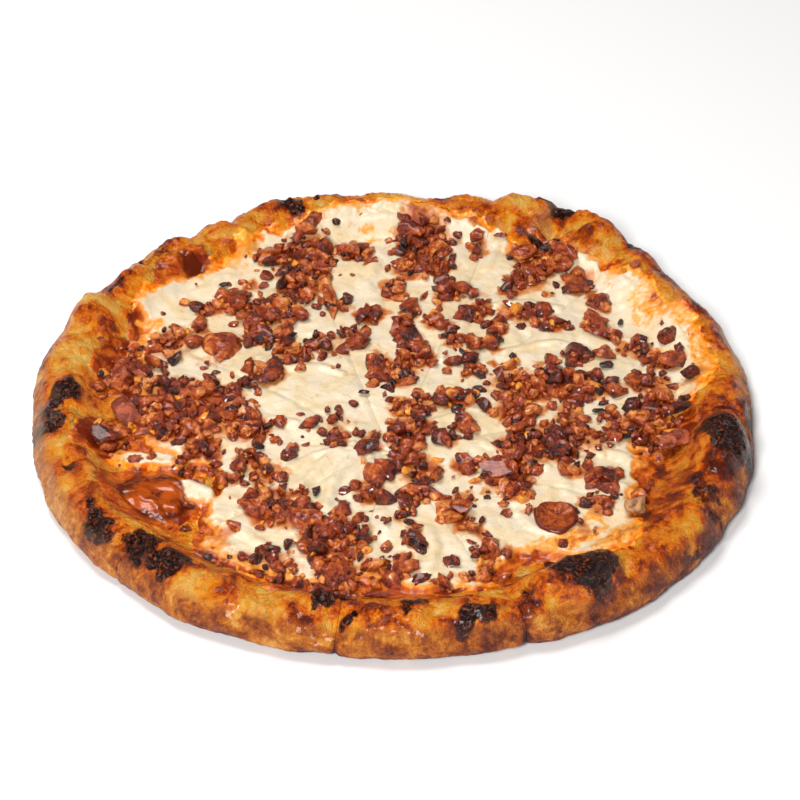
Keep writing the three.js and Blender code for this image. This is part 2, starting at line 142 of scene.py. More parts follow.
# Outline of the plain rim, from the middle of the underside to the middle of the top.
CRUST_PROFILE = [
    (0, 0),
    (PIZZA_RADIUS - 9, 0),
    (PIZZA_RADIUS - 3, 1.6),
    (PIZZA_RADIUS - 0.4, 4.5),
    (PIZZA_RADIUS, 8),
    (PIZZA_RADIUS - 1.5, 12),
    (PIZZA_RADIUS - 5, 16),
    (PIZZA_RADIUS - 9.5, 19),
    (CREST, RIM_HEIGHT),
    (CREST - 6, RIM_HEIGHT - 1),
    (CREST - 11, RIM_HEIGHT - 4),
    (CREST - 15.5, RIM_HEIGHT - 8),
    (INNER, DOUGH_THICKNESS + 0.5),
    (INNER - 8, DOUGH_THICKNESS),
    (0, DOUGH_THICKNESS),
]

# Where the dough was pulled out further than a circle: bearing, spread in degrees, reach.
EDGE_PULLS = [
    (312, 26, 5.6), (50, 16, 7.5), (20, 7, 1.8), (73, 9, 5.5), (96, 6, 3.2), (112.5, 8, 7), (121, 3, -4.5),
    (161, 8, 2.5), (190, 20, -1.2), (245, 14, 1.2),
]

# Puffs and blisters: bearing and radius of the middle, length along the rim, width, rise.
RIM_PUFFS = [
    (66, 165, 34, 30, 7.5), (58.5, 172, 40, 20, 7.6), (51.5, 167, 30, 28, 6.5), (42, 168, 26, 18, 2),
    (78, 170, 16, 12, 2.5), (103, 168, 70, 22, 2.5), (124, 166, 22, 16, 2.5), (132, 168, 18, 16, 3),
    (144, 160, 22, 20, 3), (156, 165, 34, 24, 4), (180, 155, 26, 18, 3), (188, 158, 18, 16, 3),
    (213, 160, 34, 14, 2), (229, 158, 46, 18, 3), (260, 155, 26, 16, 3), (283, 166, 34, 16, 3),
    (300.6, 151, 46, 44, 13), (331, 158, 30, 22, 2), (344.5, 158, 46, 32, 9), (355, 168, 18, 16, 5),
    (20, 160, 40, 18, 2),
]
TEAR = (59, 157, 13, 19, -8)
SMALL_BLISTERS = 150


def bearing_to(angle, other):
    return (angle - other + 180) % 360 - 180


def step_between(value, low, high):
    t = np.clip((value - low) / (high - low), 0, 1)
    return t * t * (3 - 2 * t)


def hump(away, spread):
    """1 at no distance, falling off softly over the spread."""
    return np.exp(-((away / spread) ** 2))


def ripple(x, y, wave):
    across = np.sin(x / wave + 1.7 * np.sin(0.8 * y / wave + 0.6))
    along = np.sin(1.13 * y / wave + 1.3 * np.sin(0.7 * x / wave + 2.1))
    return (across + along) / 2


def dome(puff, angle, radius):
    middle, out, length, width, rise = puff
    along = np.radians(bearing_to(angle, middle)) * out / (length / 2)
    across = (radius - out) / (width / 2)
    inside = np.clip(1 - along * along - across * across, 0, None)
    return rise * inside ** (0.55 if rise > STEEP_RISE else 0.8)


def lumps(x, y, size, seed):
    """An uneven field between -1 and 1 whose lumps are about that many millimetres across."""
    draw = np.random.default_rng(seed)
    lattice = draw.random((128, 128))
    turn = draw.random() * math.pi
    u = (x * math.cos(turn) - y * math.sin(turn)) / size
    v = (x * math.sin(turn) + y * math.cos(turn)) / size
    i, j = np.floor(u).astype(int), np.floor(v).astype(int)
    a, b = step_between(u - i, 0, 1), step_between(v - j, 0, 1)
    i, j, i1, j1 = i % 128, j % 128, (i + 1) % 128, (j + 1) % 128
    near = lattice[i, j] * (1 - a) + lattice[i1, j] * a
    far = lattice[i, j1] * (1 - a) + lattice[i1, j1] * a
    return 2 * (near * (1 - b) + far * b) - 1


def rough(x, y, size, seed):
    """Lumps of three sizes on each other."""
    return sum(0.5**k * lumps(x, y, size / 2**k, seed + k) for k in range(3)) / 1.3


def edge_offset(angle):
    a = np.radians(angle)
    wander = 0.7 + 0.5 * np.sin(11 * a) + 0.4 * np.sin(17 * a)
    return wander + sum(out * hump(bearing_to(angle, at), spread) for at, spread, out in EDGE_PULLS)


def nearest_cut(angle):
    return np.min([np.abs(bearing_to(angle, cut)) for cut in CUT_ANGLES], axis=0)


def small_blisters(angle, radius):
    """Many small bubbles of the rim, strewn by a seeded draw."""
    draw = np.random.default_rng(11)
    total = np.zeros_like(radius)
    for _ in range(SMALL_BLISTERS):
        at, out = 360 * draw.random(), 142 + 30 * draw.random()
        size = 4 + 9 * draw.random() ** 2
        bubble = (at, out, size * (0.8 + 0.8 * draw.random()), size, 0.16 * size)
        total = np.maximum(total, dome(bubble, angle, radius))
    return total


# Charred spots: x, y, half length, half width, turn in degrees, strength.
CHARRED = [
    (-157, -2, 9.5, 8, -15, 1), (-162, -14, 4, 6, 0, 0.8), (-165, -26, 8, 7, 20, 1), (-149, -60, 4, 3, 0, 0.6),
    (-138, -89, 3, 5, 0, 0.9), (-131, -102, 5, 10, 25, 1), (-112, -115, 11, 9, -35, 1),
    (-98, -128, 9, 7, -40, 1), (-27, -151, 9, 7, 10, 1), (-18, -166, 4, 3, 0, 0.9), (10, -154, 7, 5, 20, 0.9),
    (7, -163, 4, 5, 0, 0.6), (38, -163, 12, 6, 35, 0.72), (58, -149, 5, 5, 20, 0.45),
    (80, -163, 10, 5, 15, 0.6), (84, -132, 14, 16, -20, 1), (92, -138, 8, 10, 0, 1), (75, -120, 7, 6, 20, 0.9),
    (159, -44, 11, 16, 8, 1), (153, -32, 6, 7, 0, 0.85), (170, -18, 4, 5, 0, 0.85), (145, -82, 7, 7, 0, 0.5),
    (148, -92, 4, 4, 0, 0.5), (135, -115, 8, 4, 40, 0.5), (-126, 66, 4, 3, -30, 0.8), (-138, 84, 9, 3, 40, 0.5),
    (-150, 86, 6, 5, 30, 0.5), (-125, 108, 14, 5, 45, 0.4), (-96, 140, 5, 4, 0, 0.6), (-42, 168, 3, 6, 0, 0.7),
    (-4, 177, 7, 5, 0, 0.7), (36, 178, 7, 3, 0, 0.6), (82, 171, 14, 5, -25, 1), (88, 151, 12, 4, -25, 1),
    (79, 131, 8, 3.5, -25, 0.8), (65, 172, 8, 3, 20, 0.6), (128, 122, 4, 8, 30, 0.7), (140, 100, 3, 7, 30, 0.5),
    (152, 70, 3, 10, 20, 0.6), (-170, 40, 3, 18, -8, 0.35), (-53, 160, 4, 12, 20, 0.8),
]

# Sauce that ran out and stained the rim, in the same form.
STAINED = [
    (-132, 30, 17, 24, 0, 0.95), (-108, 104, 12, 20, -35, 0.9), (-118, 60, 10, 22, 20, 0.6),
    (-78, 147, 8, 8, 0, 0.5), (-112, -72, 28, 24, -50, 1), (-135, -28, 18, 20, 0, 0.9),
    (-45, -137, 17, 9, 5, 0.7), (5, -140, 22, 9, 5, 0.7), (28, -131, 18, 10, 10, 0.7),
    (50, -126, 10, 14, 15, 0.8), (124, -88, 14, 13, 30, 0.45), (131, -62, 10, 14, -10, 0.6),
    (137, -18, 14, 18, 0, 0.7), (77, 135, 11, 5, -25, 1), (50, 148, 12, 4, -20, 0.6),
    (100, 128, 14, 4, -40, 0.6), (122, 106, 5, 10, 30, 0.4), (-75, -125, 22, 10, -20, 0.5),
    (145, 5, 12, 10, 0, 0.45), (110, -118, 14, 12, 40, 0.4), (-150, 50, 8, 20, -10, 0.4),
]


def spots(places, x, y, softness, seed):
    """The strongest of a list of uneven spots at each point."""
    shifted_x = x + 4 * rough(x, y, 9, seed)
    shifted_y = y + 4 * rough(x, y, 9, seed + 5)
    total = np.zeros_like(x)
    for middle_x, middle_y, length, width, turn, strength in places:
        a = math.radians(turn)
        along = (shifted_x - middle_x) * math.cos(a) + (shifted_y - middle_y) * math.sin(a)
        across = (shifted_y - middle_y) * math.cos(a) - (shifted_x - middle_x) * math.sin(a)
        away = np.hypot(along / length, across / width)
        total = np.maximum(total, strength * (1 - step_between(away, 1 - softness, 1 + softness)))
    return total


def rim_grain(x, y):
    """Height of the wrinkles and small swellings of the baked rim."""
    creased = np.clip(0.4 - np.abs(lumps(x, y, 6, 27)), 0, 1)
    creased += 0.6 * np.clip(0.35 - np.abs(lumps(x, y, 3.2, 28)), 0, 1)
    return 0.8 * rough(x, y, 9, 21) + 0.95 * rough(x, y, 4.2, 25) - 1.1 * creased


def rim_shape(x, y, z):
    """How far a point of the plain rim is lifted and pushed out."""
    radius, angle = np.hypot(x, y), np.degrees(np.arctan2(y, x))
    on_rim = step_between(radius, INNER - 8, CREST)
    is_top = step_between(z, DOUGH_THICKNESS, RIM_HEIGHT - 3)
    pinch = 1.8 * hump(nearest_cut(angle), 2.2)
    puffs = sum(dome(puff, angle, radius) for puff in RIM_PUFFS)
    crag = CRAG_HEIGHT * (ripple(x, y, 5) + ripple(y, x, 9))
    burnt = spots(CHARRED, x, y, 0.35, 61)
    fine = rim_grain(x, y) + burnt * (1.2 - 2.2 * np.abs(lumps(x, y, 4, 29)) + 0.7 * lumps(x, y, 2.2, 30))
    back_rise = 1.5 * np.clip(np.sin(np.radians(angle)), 0, None)
    lift = puffs + dome(TEAR, angle, radius) + crag + fine + small_blisters(angle, radius) + back_rise - pinch
    wall = 0.9 * rough(x + 2 * z, y - 3 * z, 9, 31) + 0.4 * rough(x + 4 * z, y + 5 * z, 3, 35)
    notch = 1.3 * hump(nearest_cut(angle), 0.5) * (1 - is_top)
    bulge = on_rim * (edge_offset(angle) - notch + 0.12 * puffs * is_top + 0.5 * crag + wall * (1 - is_top))
    return lift * is_top * on_rim, bulge


def settled(height):
    """Flattens what rises past the highest puffs."""
    over = height - FLATTENED_ABOVE
    return np.where(over > 0, FLATTENED_ABOVE + FLATTENED_OVER * np.tanh(over / FLATTENED_OVER), height)


def moved_rim(points):
    """Moves points of the plain crust to their baked place."""
    x, y, z = points.T
    lift, bulge = rim_shape(x, y, z)
    grown = (np.hypot(x, y) + bulge) / np.maximum(np.hypot(x, y), 1)
    return np.stack([x * grown, y * grown, settled(z + lift)], axis=1)


def crust_top(x, y):
    """Height of the crust's upper side, for what lies on it."""
    radius, angle = np.hypot(x, y), np.degrees(np.arctan2(y, x))
    plain = radius - step_between(radius, INNER - 8, CREST) * edge_offset(angle)
    top = CRUST_PROFILE[8:]
    height = np.interp(plain, [p[0] for p in reversed(top)], [p[1] for p in reversed(top)])
    lift, _ = rim_shape(x * plain / np.maximum(radius, 1), y * plain / np.maximum(radius, 1), height)
    return settled(height + lift)


def cut_way(bearing):
    """The direction of a cut, from where the cuts meet to its end on the rim."""
    way = np.array([math.cos(math.radians(bearing)), math.sin(math.radians(bearing))]) * PIZZA_RADIUS - CUT_MEETING
    return way / np.hypot(*way)


def cut_wedge(bm, start, end, slit, fill):
    """Cuts a bmesh down to the slice between two cuts, less half the slit on each side."""
    for bearing, side in ((start, -1), (end, 1)):
        way = cut_way(bearing)
        outward = np.array([-way[1], way[0]]) * side
        on_cut = np.array(CUT_MEETING) - outward * slit / 2
        cut = bmesh.ops.bisect_plane(
            bm,
            geom=bm.verts[:] + bm.edges[:] + bm.faces[:],
            plane_co=(on_cut[0] * MM, on_cut[1] * MM, 0),
            plane_no=(outward[0], outward[1], 0),
            clear_outer=True,
        )
        if fill:
            edges = [e for e in cut["geom_cut"] if isinstance(e, bmesh.types.BMEdge)]
            bmesh.ops.triangle_fill(bm, edges=edges, use_beauty=True)


def inside_wedge(x, y, start, end, margin):
    """Tells which points lie in the slice between two cuts, or within a margin of it."""
    inside = np.ones(len(x), bool)
    for bearing, side in ((start, -1), (end, 1)):
        way = cut_way(bearing)
        outward = np.array([-way[1], way[0]]) * side
        inside &= (x - CUT_MEETING[0]) * outward[0] + (y - CUT_MEETING[1]) * outward[1] < margin
    return inside


def points_of(mesh):
    place = np.empty(len(mesh.vertices) * 3, np.float32)
    mesh.vertices.foreach_get("co", place)
    return place.reshape(-1, 3).astype(float) / MM


def set_points(mesh, points):
    mesh.vertices.foreach_set("co", (points * MM).astype(np.float32).ravel())
    mesh.update()


def paint(mesh, name, values):
    """Keeps a number for each vertex, for the material to read."""
    layer = mesh.attributes.new(name, "FLOAT", "POINT")
    layer.data.foreach_set("value", np.asarray(values, np.float32))


def node_in(tree, kind, **values):
    """Adds a shader node and sets its sockets and properties by name."""
    made = tree.nodes.new(kind)
    for key, value in values.items():
        socket = made.inputs.get(key.replace("_", " ").title()) or made.inputs.get(key)
        if socket is not None and not hasattr(made, key):
            if isinstance(value, bpy.types.NodeSocket):
                tree.links.new(value, socket)
            else:
                socket.default_value = value
        else:
            setattr(made, key, value)
    return made


def grain(tree, scale, detail=4, roughness=0.6, distortion=0.0):
    """Noise on object coordinates, as one number. The scale is in lumps per metre."""
    place = tree.nodes.new("ShaderNodeTexCoord").outputs["Object"]
    made = node_in(
        tree, "ShaderNodeTexNoise", Scale=scale, Detail=detail, Roughness=roughness, Distortion=distortion,
    )
    tree.links.new(place, made.inputs["Vector"])
    return made.outputs["Fac"]


def measure(tree, name):
    return node_in(tree, "ShaderNodeAttribute", attribute_name=name).outputs["Fac"]


def between(tree, value, low, high):
    """Maps a number from low to high onto 0 to 1, softly."""
    made = node_in(tree, "ShaderNodeMapRange", interpolation_type="SMOOTHSTEP")
    tree.links.new(value, made.inputs["Value"])
    made.inputs["From Min"].default_value = low
    made.inputs["From Max"].default_value = high
    return made.outputs["Result"]


def combined(tree, operation, first, second):
    made = node_in(tree, "ShaderNodeMath", operation=operation)
    for socket, value in zip(made.inputs, (first, second)):
        if isinstance(value, bpy.types.NodeSocket):
            tree.links.new(value, socket)
        else:
            socket.default_value = value
    return made.outputs[0]


def blended(tree, share, first, second):
    """Mixes two colours, each a colour or a socket."""
    made = node_in(tree, "ShaderNodeMix", data_type="RGBA")
    for index, value in ((0, share), (6, first), (7, second)):
        socket = made.inputs[index]
        if isinstance(value, bpy.types.NodeSocket):
            tree.links.new(value, socket)
        else:
            socket.default_value = value if index == 0 else (*value, 1)
    return made.outputs[2]


def srgb(red, green, blue):
    """A colour as it shows on a screen, from 0 to 255, as the linear one that a shader takes."""
    shares = [value / 255 for value in (red, green, blue)]
    return tuple(s / 12.92 if s <= 0.04045 else ((s + 0.055) / 1.055) ** 2.4 for s in shares)


def coloured(tree, value, stops):
    """Colours along a number, from pairs of a place and a screen colour."""
    made = node_in(tree, "ShaderNodeValToRGB")
    tree.links.new(value, made.inputs["Fac"])
    while len(made.color_ramp.elements) < len(stops):
        made.color_ramp.elements.new(0.5)
    for element, (at, colour) in zip(made.color_ramp.elements, stops):
        element.position = at
        element.color = (*srgb(*colour), 1)
    return made.outputs["Color"]


def laid(tree, under, value, low, high, over):
    """Lays a colour over another where a number passes from low to high. Each is a screen colour or a socket."""
    pair = [c if isinstance(c, bpy.types.NodeSocket) else srgb(*c) for c in (under, over)]
    return blended(tree, between(tree, value, low, high), *pair)


def weighed(tree, terms):
    """The sum of some numbers, each with its weight."""
    total = 0.0
    for value, weight in terms:
        total = combined(tree, "ADD", combined(tree, "MULTIPLY", value, weight), total)
    return total


def creases(tree, scale, twist):
    """Sharp wrinkles: the distance of a noise from its middle."""
    noise = grain(tree, scale, 3, 0.5, twist)
    return combined(tree, "ABSOLUTE", combined(tree, "SUBTRACT", noise, 0.5), 0.0)


def bumps(tree, shader, height, distance, strength):
    made = node_in(tree, "ShaderNodeBump", Strength=strength, Distance=distance)
    tree.links.new(height, made.inputs["Height"])
    tree.links.new(made.outputs["Normal"], shader.inputs["Normal"])


def sauce_colour(tree, broad, middling):
    """Tomato sauce baked with bacon fat, from orange-brown to dark red-brown."""
    sauce = laid(tree, (210, 106, 24), middling, 0.38, 0.6, (158, 56, 8))
    return laid(tree, sauce, broad, 0.46, 0.62, (114, 32, 4))


def unsettled(tree, name, noise, swing):
    """A painted number with its edges broken up by noise."""
    wobble = combined(tree, "MULTIPLY", combined(tree, "SUBTRACT", noise, 0.5), swing)
    return combined(tree, "ADD", measure(tree, name), wobble)


def toasted(tree, toast_and_painted_light):
    """The baked skin of the rim, from pale gold through orange to dark brown."""
    broad, middling, fine = grain(tree, 62, 6, 0.6, 0.7), grain(tree, 240, 5, 0.65, 0.6), grain(tree, 620, 4, 0.7)
    done = weighed(tree, [(broad, 0.7), (middling, 0.28), (fine, 0.196), (toast_and_painted_light, 0.14)])
    stops = [
        (0.476, (255, 196, 92)), (0.553, (255, 168, 46)), (0.616, (250, 136, 16)), (0.672, (220, 92, 4)),
        (0.721, (156, 54, 4)), (0.777, (98, 26, 4)), (0.868, (54, 14, 4)),
    ]
    return coloured(tree, done, stops)


def baked_crust():
    material, tree, shader = fresh_material(
        "baked_crust", Specular_IOR_Level=0.45, Coat_Weight=0.12, Coat_Roughness=0.12,
        Subsurface_Weight=0.05, Subsurface_Radius=(1.0, 0.45, 0.2), Subsurface_Scale=0.0015,
    )
    broad = grain(tree, 50, 5, 0.65, 0.8)
    middling = grain(tree, 150, 6, 0.7, 0.6)
    fine = grain(tree, 520, 5, 0.75)
    toast_and_painted_light = weighed(tree, [(measure(tree, "toast_and_painted_light"), 1.0), (measure(tree, "raised"), 0.3)])
    golden = toasted(tree, toast_and_painted_light)
    dry = weighed(tree, [(broad, 0.5), (middling, 0.5), (fine, 0.35), (toast_and_painted_light, 0.2)])
    outer = coloured(tree, dry, [
        (0.5, (255, 202, 112)), (0.59, (246, 164, 60)), (0.67, (218, 120, 22)),
        (0.75, (172, 80, 14)), (0.83, (122, 44, 6)), (0.93, (78, 24, 4)),
    ])
    colour = blended(tree, measure(tree, "outside"), golden, outer)
    stain = unsettled(tree, "sauce", middling, 1.3)
    colour = blended(tree, between(tree, stain, 0.35, 0.9), colour, sauce_colour(tree, broad, middling))
    burnt = weighed(tree, [(unsettled(tree, "char", middling, 1.1), 1.0), (fine, 0.9), (1.0, -0.45)])
    colour = laid(tree, colour, burnt, 0.24, 0.5, (118, 42, 8))
    wrinkled = creases(tree, 260, 1.4)
    ash_stops = [(0.36, (6, 2, 1)), (0.48, (34, 10, 5)), (0.6, (100, 38, 18)), (0.76, (164, 84, 42))]
    ash = coloured(tree, weighed(tree, [(wrinkled, 1.6), (fine, 0.8)]), ash_stops)
    black = between(tree, burnt, 0.46, 0.56)
    colour = blended(tree, black, colour, ash)
    pale = laid(tree, (240, 194, 148), middling, 0.4, 0.6, (218, 160, 108))
    colour = blended(tree, measure(tree, "pale"), colour, pale)
    tree.links.new(colour, shader.inputs["Base Color"])
    dullness = weighed(tree, [(measure(tree, "outside"), 0.34), (fine, 0.3), (black, -0.06), (1.0, 0.04)])
    tree.links.new(dullness, shader.inputs["Roughness"])
    blistered = combined(tree, "MULTIPLY", wrinkled, black)
    relief = weighed(tree, [
        (fine, 1.0), (middling, 0.9), (wrinkled, 1.9), (creases(tree, 620, 1.0), 0.7), (blistered, 2.2),
    ])
    bumps(tree, shader, relief, 0.0032, 0.9)
    return material


def rounded_profile():
    """The crust's outline with its bends rounded off and points about a millimetre apart on the rim."""
    corners = np.array(CRUST_PROFILE, float)
    rim = corners[1:-1]
    run = np.concatenate([[0], np.cumsum(np.hypot(*np.diff(rim, axis=0).T))])
    along = np.linspace(0, run[-1], 78)
    bent = np.stack([np.interp(along, run, rim[:, k]) for k in (0, 1)], axis=1)
    for _ in range(3):
        bent[1:-1] = (bent[:-2] + 2 * bent[1:-1] + bent[2:]) / 4
    under = [(r, 0) for r in (0, 80, 130)]
    over = [(r, DOUGH_THICKNESS) for r in (*np.arange(INNER - 9.5, 96, -1.6), 70, 35, 0)]
    return [*under, *bent, *over]


profile = np.array(rounded_profile(), float)
bm = bmesh.new()
bmesh.ops.create_grid(bm, x_segments=CRUST_STEPS, y_segments=len(profile) - 1, size=0.5)
whole_crust = bpy.data.meshes.new("whole_crust")
bm.to_mesh(whole_crust)
turn, rank = (points_of(whole_crust) * MM + 0.5).T[:2]
rank = np.rint(rank * (len(profile) - 1)).astype(int)
radius, height = profile[rank].T
x, y = radius * np.cos(2 * math.pi * turn), radius * np.sin(2 * math.pi * turn)
set_points(whole_crust, np.stack([x, y, height], axis=1))
bm.free()
bm = bmesh.new()
bm.from_mesh(whole_crust)
bmesh.ops.remove_doubles(bm, verts=bm.verts, dist=1e-6)
bmesh.ops.recalc_face_normals(bm, faces=bm.faces)
bm.to_mesh(whole_crust)
bm.free()
x, y, z = points_of(whole_crust).T
blistered = small_blisters(np.degrees(np.arctan2(y, x)), np.hypot(x, y))
paint(whole_crust, "raised", rim_grain(x, y) + 0.6 * blistered)
set_points(whole_crust, moved_rim(points_of(whole_crust)))
crust_material = baked_crust()


def paint_crust(mesh):
    x, y, z = points_of(mesh).T
    radius, angle = np.hypot(x, y), np.degrees(np.arctan2(y, x))
    edge = PIZZA_RADIUS + edge_offset(angle)
    outside = step_between(radius, edge - 9, edge - 2.5) * (1 - step_between(z, 15, 20))
    outside = np.maximum(outside, 1 - step_between(z, 1, 3))
    paint(mesh, "outside", outside)
    paint(mesh, "char", spots(CHARRED, x, y, 0.35, 61) * step_between(z, 4, 9))
    paint(mesh, "sauce", spots(STAINED, x, y, 0.45, 71) * (1 - outside))
    crest = 0.5 * step_between(rough(x, y, 13, 81), -0.15, 0.6) * (1 - outside)
    foot = 0.6 * (1 - step_between(z, 1.5, 6)) + 0.35 * step_between(rough(x + 3 * z, y, 12, 91), 0, 0.6) * outside
    back = 0.8 * step_between(radius, edge - 11, edge - 3) * step_between(np.sin(np.radians(angle)), 0.1, 0.7)
    # Darker on the right of the rim, on top and on the outer wall: partly more toasting, partly painted shade on
    # the side away from the lamps.
    right = 0.42 * hump(bearing_to(angle, 338), 30) * (1 - outside)
    right = right + 0.5 * hump(bearing_to(angle, 318), 24) * outside
    scorched = 0.95 * spots([(u, v, a + 3, b + 3, turn, k) for u, v, a, b, turn, k in CHARRED], x, y, 0.6, 61)
    cut_line = 0.7 * hump(nearest_cut(angle), 0.5) * outside
    # Painted light: the rim on the left is made paler, as if more light fell there.
    fair = 0.45 * hump(bearing_to(angle, 178), 30) + 0.25 * hump(bearing_to(angle, 205), 16) * outside
    paint(mesh, "toast_and_painted_light", np.maximum(crest + foot + back + right + cut_line - fair, scorched))
    side = (1 - step_between(np.abs(bearing_to(angle, 19)), 9, 16)) * outside * step_between(z, 2, 4)
    # Painted light: the outer wall on the left is made paler as well.
    left = 0.3 * hump(bearing_to(angle, 192), 22) * outside
    torn = 0.4 * spots([(80, 145, 5, 10, -30, 0.9)], x, y, 0.5, 95)
    paint(mesh, "pale", np.maximum(np.maximum(0.85 * side, torn), left))


def sliced(whole, index, margin, slit, fill):
    """A bmesh of one slice of the whole. What lies beyond the margin goes first, to save time."""
    start, end = CUT_ANGLES[index], CUT_ANGLES[(index + 1) % len(CUT_ANGLES)]
    bm = bmesh.new()
    bm.from_mesh(whole)
    bm.verts.ensure_lookup_table()
    near = inside_wedge(*points_of(whole).T[:2], start, end, margin)
    bmesh.ops.delete(bm, geom=[bm.verts[i] for i in np.flatnonzero(~near)], context="VERTS")
    cut_wedge(bm, start, end, slit, fill)
    return bm


for index in range(len(CUT_ANGLES)):
    bm = sliced(whole_crust, index, 3, CRUST_SLIT, True)
    number = f"{index + 1:02d}"
    crust = mesh_object(f"baked_crust_{number}", bm, crust_material)
    crust.data.set_sharp_from_angle(angle=math.radians(70))
    paint_crust(crust.data)
    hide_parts(f"crust_slice_{number}")
    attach(crust, "root")
bpy.data.meshes.remove(whole_crust)

# ---------- cheese and sauce ----------
# Mozzarella melted over tomato sauce. It stops short of the rim, and there the sauce shows, baked
# to a glossy film. Bacon fat has stained the cheese round the heaps, and under the heaps it is
# darkened further by painted shade between the crumbs. Each slice has its own.
CHEESE_RADIUS = 146
CHEESE_THICKNESS = 3.6
LAYER_SLIT = 0.12
LAYER_CELL = 0.65
LAYER_REACH = 166

# Bearing, spread in degrees and depth of each place where the cheese stops short.
CHEESE_RECESSES = [
    (213, 17, 44), (176, 20, 22), (262, 26, 10), (300, 13, 16), (340, 17, 18), (132, 14, 14), (60, 6, 6),
    (90, 16, -8),
]
# Middle, half width and rise of each thicker puddle.
CHEESE_SWELLS = [
    (-42, 8, 34, 1.6), (12, 128, 30, 0.8), (75, 30, 32, 0.9), (-25, -52, 24, 1.2), (25, -110, 30, 0.9),
    (100, 95, 26, 0.6),
]
# How deep each cut still shows in the cheese, in the order of the cuts.
CUT_GROOVES = [0.5, 1.6, 1.1, 0.7, 1.6, 0.6, 1.3, 0.5, 0.4, 0.5]

